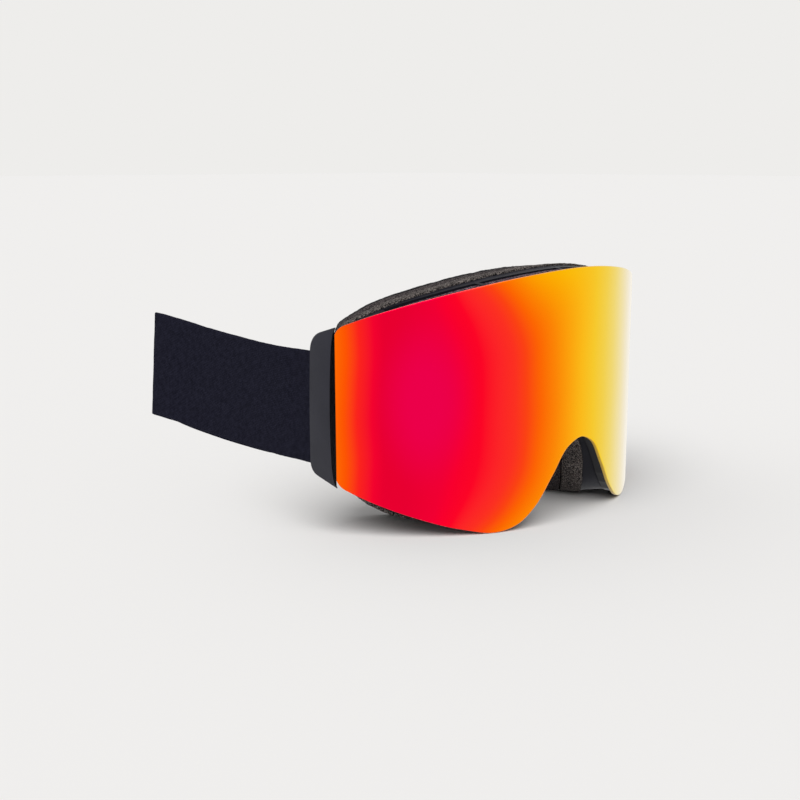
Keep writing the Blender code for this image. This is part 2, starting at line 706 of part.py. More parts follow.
def make_strap_end(side, materials):
    """The sewn loop that holds the strap to the outrigger's bar, with its doubled tail."""
    sign = SIDES[side]
    pivot = (sign * HINGE[0], HINGE[1], 0.0)
    outer = LOOP_RADIUS + STRAP_THICKNESS
    bottom = STRAP_HEIGHT_AT_EAR
    tail = [(STRAP_THICKNESS, LOOP_TAIL), (-STRAP_THICKNESS, LOOP_TAIL)]
    turns = np.linspace(-math.pi, 0.0, LOOP_STEPS + 1)
    rounds = [(outer * math.cos(a), BAR[1] + outer * math.sin(a)) for a in turns]
    waist = outer * LOOP_WAIST[0]
    waist_y = BAR[1] + LOOP_WAIST[1]
    outline = [*rounds, (waist, waist_y), *tail, (-waist, waist_y)]
    levels = (bottom, bottom + STRAP_WIDTH)
    sections = [[(sign * (BAR[0] + x), y, z) for x, y in outline] for z in levels]
    points, faces = loft(sections)
    loop = make_object(f"{side}_strap_end", points, faces, materials["strap"], pivot)
    centre = (sign * BAR[0], BAR[1])
    long_span = grown(levels, CUT_OVERRUN)
    hole = make_rod(f"cut_{side}_strap_end", centre, LOOP_RADIUS, long_span, None, pivot)
    boolean(loop, hole, "DIFFERENCE")


def along_left_run(distance, outward, height):
    """A point beside the left strap run: distance from its back end, and outward from it."""
    start = np.array(LEFT_RUN_START)
    direction = np.array(LEFT_RUN_END) - start
    direction = direction / np.linalg.norm(direction)
    normal = np.array((-direction[1], direction[0]))
    place = start + direction * distance + normal * outward
    return (*place, height)


def run_box(name, distances, outwards, heights, material):
    sections = []
    for height in heights:
        ring = [(distances[0], outwards[0]), (distances[1], outwards[0])]
        ring += [(distances[1], outwards[1]), (distances[0], outwards[1])]
        sections.append([along_left_run(d, o, height) for d, o in ring])
    points, faces = loft(sections)
    return make_object(name, points, faces, material)


def make_slider(materials):
    """A three-bar slider threaded on the strap, and the doubled strap layer that it adjusts."""
    run = math.dist(LEFT_RUN_START, LEFT_RUN_END)
    middle = SLIDER_PLACE
    low = STRAP_HEIGHT_AT_EAR - SLIDER_CLEARANCE
    high = STRAP_HEIGHT_AT_EAR + STRAP_WIDTH + SLIDER_CLEARANCE
    face = STRAP_THICKNESS / 2 + SLIDER_CLEARANCE
    half = SLIDER_LENGTH / 2
    reach = face + SLIDER_BAR
    ends = (middle - half, middle + half)
    slider = run_box("slider", ends, (-reach, reach), (low - SLIDER_RIM, low), materials["slider"])
    top = run_box("join_slider_top", ends, (-reach, reach), (high, high + SLIDER_RIM), None)
    boolean(slider, top, "UNION")
    inner = reach - BAR_INSET
    bars = (
        (ends[0] + BAR_INSET, ends[0] + SLIDER_BAR, face, inner),
        (ends[1] - SLIDER_BAR, ends[1] - BAR_INSET, face, inner),
        (middle - SLIDER_BAR / 2, middle + SLIDER_BAR / 2, -inner, -face),
    )
    for number, (start, end, near, far) in enumerate(bars, start=1):
        span = (low - SLIDER_RIM / 2, high + SLIDER_RIM / 2)
        bar = run_box(f"join_slider_bar_{number}", (start, end), (near, far), span, None)
        boolean(slider, bar, "UNION")
    layer = (STRAP_THICKNESS / 2 + RETURN_GAP, 1.5 * STRAP_THICKNESS + RETURN_GAP)
    heights = (STRAP_HEIGHT_AT_EAR, STRAP_HEIGHT_AT_EAR + STRAP_WIDTH)
    start = ends[1] + GAP
    end = run - SLIDER_TRAVEL - RETURN_END
    run_box("strap_return", (start, end), layer, heights, materials["strap"])


def main():
    clear_scene()
    materials = make_materials()
    carrier = make_lens(materials)
    frame = make_frame(materials)
    cut_vents(frame, materials)
    make_magnets(carrier, frame, materials)
    make_face_foam(materials)
    for side in SIDES:
        make_hinge(side, frame, materials)
        make_outrigger(side, materials)
        make_strap_end(side, materials)
    make_strap(materials)
    make_slider(materials)


main()
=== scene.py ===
"""Looks of the ski goggles: fine meshes, materials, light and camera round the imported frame.

Shapes are worked out in goggle millimetres: X to the viewer's right, Y from the lens front
towards the face, Z up. to_row() turns them into the row frame's metres. The lens outline and
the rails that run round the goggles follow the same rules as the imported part.
"""

import json
import math

import bmesh
import bpy
import numpy as np
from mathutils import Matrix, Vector, geometry, noise

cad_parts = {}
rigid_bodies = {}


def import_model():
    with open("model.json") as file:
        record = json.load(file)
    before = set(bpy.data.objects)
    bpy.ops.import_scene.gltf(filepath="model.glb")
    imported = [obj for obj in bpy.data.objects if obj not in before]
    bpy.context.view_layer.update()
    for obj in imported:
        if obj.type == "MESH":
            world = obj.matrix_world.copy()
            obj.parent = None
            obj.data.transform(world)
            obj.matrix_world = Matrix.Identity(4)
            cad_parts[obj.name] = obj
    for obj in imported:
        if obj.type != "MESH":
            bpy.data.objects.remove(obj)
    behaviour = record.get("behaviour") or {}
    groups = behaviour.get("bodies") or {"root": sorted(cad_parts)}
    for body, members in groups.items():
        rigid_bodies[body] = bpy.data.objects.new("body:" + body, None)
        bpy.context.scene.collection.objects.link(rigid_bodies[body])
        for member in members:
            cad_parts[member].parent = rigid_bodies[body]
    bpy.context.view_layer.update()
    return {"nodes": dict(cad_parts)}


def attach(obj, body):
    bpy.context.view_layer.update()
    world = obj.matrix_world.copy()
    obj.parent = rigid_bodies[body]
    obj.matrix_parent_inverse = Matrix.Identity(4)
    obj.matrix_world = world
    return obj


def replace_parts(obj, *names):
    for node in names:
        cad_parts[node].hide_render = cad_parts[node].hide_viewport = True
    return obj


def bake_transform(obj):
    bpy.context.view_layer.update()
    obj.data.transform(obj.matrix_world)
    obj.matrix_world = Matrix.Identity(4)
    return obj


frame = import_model()

MM = 0.001
ORIGIN = np.array((0.0, 80.2, 0.0))
GAP = 0.35

LENS_RADIUS = 100.0
TOP_EDGE = ((0.0, 101.5), (30.0, 99.4), (60.0, 94.0), (90.0, 85.9), (106.2, 80.2))
SIDE_EDGE = ((106.2, 80.2), (107.6, 48.0), (106.0, 19.4))
BOTTOM_EDGE = (
    (106.0, 19.4), (94.0, 14.2), (75.3, 7.5), (56.5, 2.2), (41.5, 0.0),
    (32.8, 2.2), (25.5, 7.7), (16.1, 20.0), (7.6, 30.5), (0.0, 33.2),
)
LENS_CORNER = 4.5
TURN_WEIGHT = 3.0
OUTER_THICKNESS = 1.6
CARRIER_FRONT = OUTER_THICKNESS + GAP
CARRIER_BACK = 5.8
INNER_THICKNESS = 0.8
SEAT_FRONT = CARRIER_BACK + GAP
SEAT_BACK = SEAT_FRONT + 2.2
GASKET_INSETS = (5.8, 10.0)
SEAT_INSETS = (2.2, 8.5)
WALL = 1.6

PLATE_FACE = 88.5
FACE_DEPTH = 22.0
FACE_CURVE = 0.0044
TEMPLE_WRAP = 6.0
TEMPLE_POWER = 8
FACE_NARROW = 0.905
FACE_LEAN = 0.5
BROW_DROP = 1.1
BROW_SAG = 0.10
BROW_HEIGHTS = (60.0, 80.0)
NOSE_FORWARD = 11.0
NOSE_WIDTHS = (9.0, 38.0)
NOSE_HEIGHT = 60.0
CORNER_WIDTHS = (68.0, 89.0)
CORNER_HEIGHTS = (14.0, 32.0)
SIDE_MIDDLE = 48.0
CORNER_NARROW = {"upper": 0.055, "lower": 0.035}
CORNER_DROP = 0.4
CHEEK_HEIGHT = 20.0
CHEEK_FLATNESS = 0.35
CHEEK_SAG = 0.15
CHEEK_SAG_HEIGHT = 30.0
FLANGE_INSETS = (-0.4, 12.5)
FLANGE_FILLET = 0.4

BASE_FOAM = (GAP, 7.0)
COMFORT_FOAM = (7.0 + GAP, 16.4)
FLEECE = (16.4 + GAP, 18.2)
FOAM_BULGE = 0.4
FOAM_LIP = (-0.9, 0.8, -3.4)  # outer and inner insets and front of the lip over the flange

VENT_SHARES = (0.14, 0.46)
VENT_INSETS = (-4.0, 4.3)
TOP_VENTS = ((1.0, 43.0), (45.0, 86.0))
LOWER_VENTS = ((48.5, 64.5), (68.5, 84.5))
VENT_FOAM_SHARES = (0.08, 0.56)
VENT_FOAM_INSETS = (4.4, 6.4)
VENT_FOAM_OVERRUN = 2.0
VENT_PAD_INSETS = (1.3, 5.0)  # the filter foam that bulges up into each window
VENT_PAD_SHARES = (0.15, 0.455)
VENT_PAD_MARGIN = 0.9

HINGE = (83.4, 57.0)
BARREL_RADIUS = 2.2
EAR_SPANS = ((30.0, 34.0), (66.0, 70.0))
BAR = (83.2, 62.0)

STRAP_WIDTH = 45.0
STRAP_THICKNESS = 1.3
STRAP_ROUTE = (
    (-83.7, 84.0, 24.7), (-84.4, 99.0, 25.2), (-85.6, 114.0, 26.5),
    (-87.9, 130.0, 28.5), (-90.6, 143.0, 30.7), (-93.6, 152.8, 32.6), (-93.8, 159.4, 33.0),
    (-89.2, 159.0, 31.6), (-83.0, 147.0, 27.0), (-76.0, 131.5, 22.3), (-60.0, 120.0, 16.0),
    (-38.0, 118.0, 12.0), (-10.0, 120.5, 10.5), (20.0, 126.5, 11.5), (48.0, 134.5, 14.2),
    (70.0, 140.5, 17.6), (85.0, 139.0, 21.8), (91.6, 130.5, 24.4),
)
STRAP_LEAD = (-83.4, 76.0, 24.75)  # between the right loop and the rest of the route
FOLD_LEAN = (-2.0, 2.0)
FOLD_DEPTHS = (120.0, 158.0)
FOLD_WIDTHS = (60.0, 84.0)
LEFT_RUN_START = (92.4, 124.0)
LEFT_RUN_END = (83.6, 69.0)
STRAP_HEIGHT_AT_EAR = 24.8
GRIP_HEIGHTS = (9.0, 22.3, 35.6)
GRIP_SPAN = (0.42, 0.70)
SLIDER_PLACE = 14.0
SLIDER_TRAVEL = 14.0
SLIDER_LENGTH = 17.0
RETURN_END = 1.5
RETURN_GAP = 0.4
SIDES = {"right": -1.0, "left": 1.0}


# ---------------------------------------------------------------- curves and rails


def curve_through(points, steps, before=None, after=None):
    """A smooth curve through points, with steps per span. before and after set its end slopes."""
    knots = [np.array(p, float) for p in points]
    first = np.array(before, float) if before else 2 * knots[0] - knots[1]
    last = np.array(after, float) if after else 2 * knots[-1] - knots[-2]
    padded = [first, *knots, last]
    slopes = []
    for i in range(1, len(padded) - 1):
        back = padded[i] - padded[i - 1]
        ahead = padded[i + 1] - padded[i]
        d0 = np.linalg.norm(back)
        d1 = np.linalg.norm(ahead)
        slopes.append((ahead / d1 * d0 + back / d0 * d1) / (d0 + d1))
    curve = []
    for i in range(len(knots) - 1):
        span = np.linalg.norm(knots[i + 1] - knots[i])
        for t in np.arange(steps) / steps:
            value = (2 * t**3 - 3 * t**2 + 1) * knots[i] + (3 * t**2 - 2 * t**3) * knots[i + 1]
            value = value + (t**3 - 2 * t**2 + t) * span * slopes[i]
            curve.append(value + (t**3 - t**2) * span * slopes[i + 1])
    curve.append(knots[-1])
    return np.array(curve)


def lengths_along(points):
    steps = np.linalg.norm(np.diff(points, axis=0), axis=1)
    return np.concatenate([[0.0], np.cumsum(steps)])


def points_at(points, along, places):
    """The points of a line at places, where along holds how far round each of its points lies."""
    return np.stack([np.interp(places, along, column) for column in points.T], axis=-1)


def respaced(points, pitch):
    """The same line with points about pitch apart."""
    along = lengths_along(points)
    places = np.linspace(0.0, along[-1], max(2, round(along[-1] / pitch) + 1))
    return points_at(points, along, places)


def rounded_join(first, second, radius, steps=12):
    along_first = lengths_along(first)
    along_second = lengths_along(second)
    reach = along_first[-1] - radius
    start = points_at(first, along_first, reach)
    end = points_at(second, along_second, radius)
    corner = first[-1]
    arc = []
    for t in np.linspace(0.0, 1.0, steps + 1):
        arc.append((1 - t) ** 2 * start + 2 * t * (1 - t) * corner + t**2 * end)
    return np.concatenate([first[along_first < reach], arc, second[along_second > radius]])


def resampled(points, count):
    """count points along a curve, closer together where it turns."""
    steps = np.diff(points, axis=0)
    angles = np.unwrap(np.arctan2(steps[:, 1], steps[:, 0]))
    turns = np.abs(np.diff(angles, prepend=angles[0]))
    weights = np.linalg.norm(steps, axis=1) + TURN_WEIGHT * turns
    along = np.concatenate([[0.0], np.cumsum(weights)])
    return points_at(points, along, np.linspace(0.0, along[-1], count))


def whole_outline(half_points):
    """The lens outline as (distance round the curve, height), brow first, then the left side."""
    brow = TOP_EDGE[1]
    nose = BOTTOM_EDGE[-2]
    top = curve_through(TOP_EDGE, 40, before=(-brow[0], brow[1]))
    side = curve_through(SIDE_EDGE, 40)
    bottom = curve_through(BOTTOM_EDGE, 24, after=(-nose[0], nose[1]))
    joined = rounded_join(rounded_join(top, side, LENS_CORNER), bottom, LENS_CORNER)
    half = resampled(joined, half_points)
    return np.concatenate([half, half[1:-1][::-1] * (-1.0, 1.0)])


class Rails:
    """Closed lines round the goggles at one fineness."""

    def __init__(self, half_points):
        self.outline = whole_outline(half_points)
        ahead = np.roll(self.outline, -1, axis=0)
        tangents = ahead - np.roll(self.outline, 1, axis=0)
        normals = np.stack([tangents[:, 1], -tangents[:, 0]], axis=1)
        self.normals = normals / np.linalg.norm(normals, axis=1)[:, None]
        self.steps = np.linalg.norm(ahead - self.outline, axis=1)
        along = np.concatenate([[0.0], np.cumsum(self.steps)[:-1]])
        apart = np.abs(along[:, None] - along[None, :])
        self.apart = np.minimum(apart, self.steps.sum() - apart)

    def inset(self, inset):
        """The outline moved inwards. Wide insets smooth the corners, so that they never cross."""
        width = max(0.9 * inset, 0.5)
        weights = np.exp(-0.5 * (self.apart / width) ** 2) * self.steps[None, :]
        smooth = weights @ self.normals
        smooth /= np.linalg.norm(smooth, axis=1)[:, None]
        return self.outline + inset * smooth

    def rail(self, inset, depth=0.0, back=0.0, share=0.0):
        """A closed line: share 0 lies on the lens, share 1 on the face side of the frame."""
        outline = self.inset(inset)
        return (1 - share) * on_lens(outline, depth) + share * on_face(outline, back)


def on_lens(outline, depth):
    angle = outline[:, 0] / LENS_RADIUS
    radius = LENS_RADIUS - depth
    x = radius * np.sin(angle)
    y = LENS_RADIUS - radius * np.cos(angle)
    return np.stack([x, y, outline[:, 1]], axis=1)


def smooth_step(values, low, high):
    share = np.clip((values - low) / (high - low), 0.0, 1.0)
    return share**2 * (3 - 2 * share)


def on_face(outline, back):
    height = outline[:, 1]
    wide = LENS_RADIUS * np.sin(outline[:, 0] / LENS_RADIUS)
    edge = np.abs(wide) / PLATE_FACE
    nose = (1 - smooth_step(np.abs(wide), *NOSE_WIDTHS)) * (height < NOSE_HEIGHT)
    y = FACE_DEPTH + FACE_CURVE * wide**2 + TEMPLE_WRAP * edge**TEMPLE_POWER
    y = y - NOSE_FORWARD * nose
    wrap = TEMPLE_WRAP * TEMPLE_POWER * edge ** (TEMPLE_POWER - 1) / PLATE_FACE * np.sign(wide)
    slope = (2 * FACE_CURVE * wide + wrap) / FACE_NARROW
    lean = np.stack([-FACE_LEAN * slope, np.ones_like(slope)], axis=1)
    lean /= np.linalg.norm(lean, axis=1)[:, None]
    low = height * (CHEEK_FLATNESS + (1 - CHEEK_FLATNESS) * height / CHEEK_HEIGHT)
    high = height - BROW_DROP * (height - CHEEK_HEIGHT) / (TOP_EDGE[0][1] - CHEEK_HEIGHT)
    z = np.where(height < CHEEK_HEIGHT, low, high)
    z = z - CHEEK_SAG * back * np.clip(1 - height / CHEEK_SAG_HEIGHT, 0.0, 1.0)
    z = z - BROW_SAG * back * smooth_step(height, *BROW_HEIGHTS)
    corner = smooth_step(np.abs(wide), *CORNER_WIDTHS)
    corner = corner * smooth_step(np.abs(height - SIDE_MIDDLE), *CORNER_HEIGHTS)
    upper = height > SIDE_MIDDLE
    z = z - CORNER_DROP * corner * upper
    narrow = np.where(upper, CORNER_NARROW["upper"], CORNER_NARROW["lower"])
    x = FACE_NARROW * wide * (1 - narrow * corner) + lean[:, 0] * back
    return np.stack([x, y + lean[:, 1] * back, np.maximum(z, 0.0)], axis=1)


FINE = Rails(190)
FOAM = Rails(330)


# ---------------------------------------------------------------- mesh helpers


POINT_WELD = 1e-7  # metres
SHARP_DEGREES = 40.0  # edges that turn more than this stay sharp


def to_row(points):
    return (np.asarray(points, float) - ORIGIN) * MM


def link_object(name, data, *materials):
    for material in materials:
        data.materials.append(material)
    obj = bpy.data.objects.new(name, data)
    bpy.context.scene.collection.objects.link(obj)
    return obj


def new_mesh(name, points, faces):
    mesh = bpy.data.meshes.new(name)
    mesh.from_pydata(to_row(points).tolist(), [], faces)
    return mesh


def finish_mesh(mesh, weld=0.0, sharp_degrees=None):
    """Welds points within weld metres, turns the faces outwards and shades them smooth."""
    shell = bmesh.new()
    shell.from_mesh(mesh)
    if weld:
        bmesh.ops.remove_doubles(shell, verts=shell.verts, dist=weld)
    bmesh.ops.recalc_face_normals(shell, faces=shell.faces)
    shell.to_mesh(mesh)
    shell.free()
    mesh.shade_smooth()
    if sharp_degrees is not None:
        mesh.set_sharp_from_angle(angle=math.radians(sharp_degrees))


def make_mesh(name, points, faces, material, sharp_degrees=SHARP_DEGREES):
    mesh = new_mesh(name, points, faces)
    finish_mesh(mesh, POINT_WELD, sharp_degrees)
    return link_object(name, mesh, material)


def add_shape(points, faces, more, sides):
    """Adds one closed shape to the points and faces of a mesh made of several."""
    faces.extend(tuple(len(points) + i for i in face) for face in sides)
    points.extend(more.tolist())


def loft_faces(spans, count, total, closed):
    faces = []
    for i in range(spans):
        here = i * count
        there = (i + 1) % total * count
        for j in range(count):
            k = (j + 1) % count
            faces.append((here + j, here + k, there + k, there + j))
    if not closed:
        faces.append(tuple(range(count))[::-1])
        faces.append(tuple(range((total - 1) * count, total * count)))
    return faces


def loft(sections, closed=False):
    sections = np.asarray(sections, float)
    total, count, _ = sections.shape
    spans = total if closed else total - 1
    return sections.reshape(-1, 3), loft_faces(spans, count, total, closed)


def rounded_rails(rails, radii, steps=4):
    """Rails of the same ring with every corner of its section rounded off."""
    rounded = []
    for i, here in enumerate(rails):
        to_last = rails[i - 1] - here
        to_next = rails[(i + 1) % len(rails)] - here
        last_length = np.linalg.norm(to_last, axis=1, keepdims=True)
        next_length = np.linalg.norm(to_next, axis=1, keepdims=True)
        reach = np.minimum(radii[i], 0.45 * np.minimum(last_length, next_length))
        start = here + to_last / last_length * reach
        end = here + to_next / next_length * reach
        for t in np.linspace(0.0, 1.0, steps + 1):
            rounded.append((1 - t) ** 2 * start + 2 * t * (1 - t) * here + t**2 * end)
    return rounded


def filled_rails(rails, pitch):
    """Adds rails where two neighbours lie further apart than pitch."""
    filled = []
    for i, here in enumerate(rails):
        ahead = rails[(i + 1) % len(rails)]
        apart = float(np.median(np.linalg.norm(ahead - here, axis=1)))
        pieces = max(1, round(apart / pitch))
        for step in range(pieces):
            filled.append(here + (ahead - here) * (step / pieces))
    return filled


def grid_normals(grid):
    """Unit normals of a grid of points that closes in both directions, facing outwards."""
    down = np.roll(grid, -1, axis=0) - np.roll(grid, 1, axis=0)
    across = np.roll(grid, -1, axis=1) - np.roll(grid, 1, axis=1)
    normals = np.cross(down, across)
    normals /= np.maximum(np.linalg.norm(normals, axis=2, keepdims=True), 1e-9)
    middles = grid.mean(axis=1, keepdims=True)
    outward = np.sum((grid - middles) * normals, axis=2).mean()
    return normals if outward > 0 else -normals


def roughened(grid, normals, layers):
    """The grid pushed in and out by noise. layers holds (size, height) pairs in millimetres."""
    flat = grid.reshape(-1, 3)
    height = np.zeros(len(flat))
    for size, amount in layers:
        values = [noise.noise(Vector(point / size)) for point in flat]
        height += amount * np.array(values)
    return grid + normals * height.reshape(grid.shape[:2])[..., None]


def make_ring(name, rails, material, layers=()):
    grid = np.stack(rails, axis=1)
    if layers:
        grid = roughened(grid, grid_normals(grid), layers)
    points, faces = loft(grid, closed=True)
    return make_mesh(name, points, faces, material)


# ---------------------------------------------------------------- materials


def linear(red, green, blue):
    """A colour given in 0 to 255 display values, as the linear values a shader takes."""
    values = []
    for value in (red, green, blue):
        value /= 255
        values.append(value / 12.92 if value <= 0.04045 else ((value + 0.055) / 1.055) ** 2.4)
    return tuple(values)


class Look:
    """One node material and the helpers that add to it."""

    def __init__(self, name, color, roughness, metallic=0.0, **sockets):
        self.material = bpy.data.materials.new(name)
        self.material.use_nodes = True
        self.tree = self.material.node_tree
        self.shader = self.tree.nodes["Principled BSDF"]
        self.shader.inputs["Base Color"].default_value = (*color, 1.0)
        self.shader.inputs["Roughness"].default_value = roughness
        self.shader.inputs["Metallic"].default_value = metallic
        for socket, value in sockets.items():
            self.shader.inputs[socket.replace("_", " ")].default_value = value
        self.bump_before = None

    def add(self, kind, links=(), **settings):
        node = self.tree.nodes.new(kind)
        for name, value in settings.items():
            setattr(node, name, value)
        for socket, source in dict(links).items():
            if isinstance(source, bpy.types.NodeSocket):
                self.tree.links.new(source, node.inputs[socket])
            else:
                node.inputs[socket].default_value = source
        return node

    def math(self, operation, first, second=0.0, third=0.0):
        links = {0: first, 1: second, 2: third}
        return self.add("ShaderNodeMath", links, operation=operation).outputs[0]

    def place(self):
        return self.add("ShaderNodeTexCoord").outputs["Object"]

    def noise(self, size, detail=3.0, vector=None):
        """Noise whose features are about size millimetres across."""
        links = {"Vector": vector or self.place(), "Scale": 1 / (size * MM), "Detail": detail}
        return self.add("ShaderNodeTexNoise", links).outputs["Fac"]

    def cells(self, size, vector=None):
        links = {"Vector": vector or self.place(), "Scale": 1 / (size * MM)}
        return self.add("ShaderNodeTexVoronoi", links).outputs["Distance"]

    def ramp(self, value, stops, interpolation="LINEAR"):
        node = self.add("ShaderNodeValToRGB", {"Fac": value})
        ramp = node.color_ramp
        ramp.interpolation = interpolation
        while len(ramp.elements) < len(stops):
            ramp.elements.new(1.0)
        for element, (place, color) in zip(ramp.elements, stops):
            element.position = place
            element.color = (*color, 1.0)
        return node.outputs["Color"]

    def mix(self, factor, first, second, blend="MIX"):
        node = self.add("ShaderNodeMix", data_type="RGBA", blend_type=blend)
        pairs = ((node.inputs[0], factor), (node.inputs[6], first), (node.inputs[7], second))
        for socket, source in pairs:
            if isinstance(source, bpy.types.NodeSocket):
                self.tree.links.new(source, socket)
            elif isinstance(source, tuple):
                socket.default_value = (*source, 1.0)
            else:
                socket.default_value = source
        return node.outputs[2]

    def span(self, value, low, high, to_low=0.0, to_high=1.0, smooth=False):
        links = {"Value": value, "From Min": low, "From Max": high, "To Min": to_low, "To Max": to_high}
        kind = "SMOOTHSTEP" if smooth else "LINEAR"
        return self.add("ShaderNodeMapRange", links, interpolation_type=kind).outputs["Result"]

    def color(self, source):
        self.tree.links.new(source, self.shader.inputs["Base Color"])

    def roughness(self, value, low, high):
        self.tree.links.new(self.span(value, 0.3, 0.7, low, high), self.shader.inputs["Roughness"])

    def bump(self, height, distance, strength=1.0):
        """Adds relief. distance is its height in millimetres."""
        links = {"Height": height, "Distance": distance * MM, "Strength": strength}
        node = self.add("ShaderNodeBump", links)
        if self.bump_before is not None:
            self.tree.links.new(self.bump_before, node.inputs["Normal"])
        self.bump_before = node.outputs["Normal"]
        self.tree.links.new(self.bump_before, self.shader.inputs["Normal"])


# Mirror coating: colours by distance round the lens, at mid height, in display values. The pale band from
# about 24 to 68 mm is a painted reflection of the white surroundings, not the coating's own colour.
COATING_AND_REFLECTION = (
    (-107.6, (253, 112, 3)), (-102.0, (253, 84, 3)), (-97.0, (251, 36, 28)),
    (-91.0, (243, 3, 46)), (-87.0, (232, 0, 47)), (-78.0, (232, 0, 48)),
    (-62.0, (241, 0, 50)), (-56.0, (248, 0, 45)), (-48.0, (252, 5, 38)),
    (-41.0, (252, 36, 39)), (-35.0, (252, 48, 33)), (-30.0, (251, 66, 18)),
    (-24.0, (252, 100, 2)), (-16.0, (252, 133, 1)), (-8.0, (252, 162, 0)),
    (0.0, (251, 186, 0)), (8.0, (246, 200, 10)), (16.0, (242, 206, 46)),
    (24.0, (239, 212, 88)), (32.0, (237, 217, 134)), (42.0, (236, 221, 176)),
    (52.0, (237, 227, 204)), (60.0, (238, 222, 170)), (68.0, (242, 208, 100)),
    (78.0, (250, 180, 20)), (88.0, (252, 128, 4)), (98.0, (252, 84, 6)),
    (107.6, (250, 58, 16)),
)
COATING_EDGE = 0.1076
PATCH = (-0.071, 0.053, 0.019, 0.034)  # the magenta patch: place round, height, two reaches
BEND_HEIGHT = 0.050
BEND = 160.0  # how fast the bands bend towards the wearer's right away from mid height


def coating_and_reflection_color(look):
    """The coating's colour from the place on the lens, so that it stays with the lens. Its pale band is a
    painted reflection of the white surroundings.
    """
    parts = look.add("ShaderNodeSeparateXYZ", {0: look.place()})
    x, y, z = parts.outputs
    axis_distance = look.math("SUBTRACT", (LENS_RADIUS - ORIGIN[1]) * MM, y)
    angle = look.math("ARCTAN2", x, axis_distance)
    around = look.math("MULTIPLY", angle, LENS_RADIUS * MM)
    off_middle = look.math("ABSOLUTE", look.math("SUBTRACT", z, BEND_HEIGHT))
    cubed = look.math("POWER", off_middle, 3.0)
    fade = look.span(around, -0.030, 0.012, 1.0, 0.0, smooth=True)
    fade = look.math("MULTIPLY", fade, look.span(around, -0.085, -0.055, smooth=True))
    shift = look.math("MULTIPLY", look.math("MULTIPLY", cubed, BEND), fade)
    drift = look.span(look.noise(38.0, 1.0), 0.2, 0.8, -0.0016, 0.0016)
    bent = look.math("ADD", look.math("ADD", around, shift), drift)
    share = look.span(bent, -COATING_EDGE, COATING_EDGE)
    # the pale stops from about 24 to 68 mm are a painted reflection of the white surroundings
    stops = [((place * MM + COATING_EDGE) / (2 * COATING_EDGE), linear(*rgb)) for place, rgb in COATING_AND_REFLECTION]
    bands = look.ramp(share, stops)
    place, height, reach, rise = PATCH
    wide = look.math("DIVIDE", look.math("SUBTRACT", around, place), reach)
    tall = look.math("DIVIDE", look.math("SUBTRACT", z, height), rise)
    square = look.math("ADD", look.math("POWER", wide, 2.0), look.math("POWER", tall, 2.0))
    patch = look.span(look.math("SQRT", square), 0.25, 1.15, 1.0, 0.0, smooth=True)
    return look.mix(patch, bands, linear(236, 0, 74))


def mirror_look():
    look = Look("mirror_coating", (0.9, 0.1, 0.03), 0.16, 1.0)
    look.color(coating_and_reflection_color(look))
    look.bump(look.noise(22.0, 1.0), 0.02)
    return look.material


def lens_edge_look():
    look = Look("lens_edge", (0.5, 0.15, 0.05), 0.45, 0.0, Specular_IOR_Level=0.3)
    look.color(look.mix(0.35, coating_and_reflection_color(look), linear(150, 70, 62)))
    look.bump(look.noise(0.8), 0.03)
    return look.material


def lens_back_look():
    look = Look("lens_back", (0.05, 0.02, 0.015), 0.12, 0.0, Coat_Weight=0.6)
    tint = look.span(look.noise(60.0, 1.0), 0.3, 0.7)
    look.color(look.mix(tint, linear(58, 30, 26), linear(74, 36, 26)))
    return look.material


def pane_look():
    look = Look("inner_pane", linear(150, 96, 78), 0.04, 0.0, Transmission_Weight=0.85)
    look.roughness(look.noise(9.0), 0.03, 0.08)
    return look.material


def plastic_look(name, color, roughness, grain=0.45, relief=0.018, spread=0.16, gloss=0.12):
    """Moulded plastic: a fine spark-eroded grain and a slow change of tone."""
    look = Look(name, color, roughness, Specular_IOR_Level=gloss)
    tone = look.span(look.noise(14.0, 2.0), 0.3, 0.7)
    low = tuple(value * (1 - spread) for value in color)
    high = tuple(value * (1 + spread) for value in color)
    look.color(look.mix(tone, low, high))
    fine = look.noise(grain, 2.0)
    look.roughness(fine, roughness - 0.06, roughness + 0.08)
    look.bump(fine, relief)
    return look.material


def foam_look(name, dark, light, cell, relief):
    """Open-cell foam: painted shade in the pores and low places, painted highlights on the raised crumbs,
    and a mottled tone.
    """
    look = Look(name, dark, 0.95, 0.0, Specular_IOR_Level=0.05)
    pores = look.cells(cell)
    crumbs = look.span(look.noise(cell * 0.8, 3.0), 0.40, 0.62)
    mottle = look.noise(cell * 6.0, 3.0)
    # dark in the pores and between the crumbs is painted shade; light on the raised crumbs is painted
    # highlight
    tone = look.math("MULTIPLY", crumbs, look.span(pores, 0.10, 0.60, 0.35, 1.0))
    tone = look.math("MULTIPLY", tone, look.span(mottle, 0.3, 0.7, 0.7, 1.1))
    look.color(look.ramp(tone, ((0.05, dark), (0.80, light))))
    look.bump(crumbs, relief)
    look.bump(pores, relief)
    return look.material


def fleece_look():
    look = Look("fleece", linear(24, 23, 26), 1.0, 0.0, Specular_IOR_Level=0.05, Sheen_Weight=0.08)
    fuzz = look.noise(0.5, 5.0)
    tufts = look.noise(2.4, 3.0)
    tone = look.math("MULTIPLY", fuzz, look.math("ADD", 0.5, tufts))
    look.color(look.ramp(tone, ((0.3, linear(12, 12, 14)), (0.75, linear(48, 47, 50)))))
    look.bump(fuzz, 0.25)
    look.bump(tufts, 0.2)
    return look.material


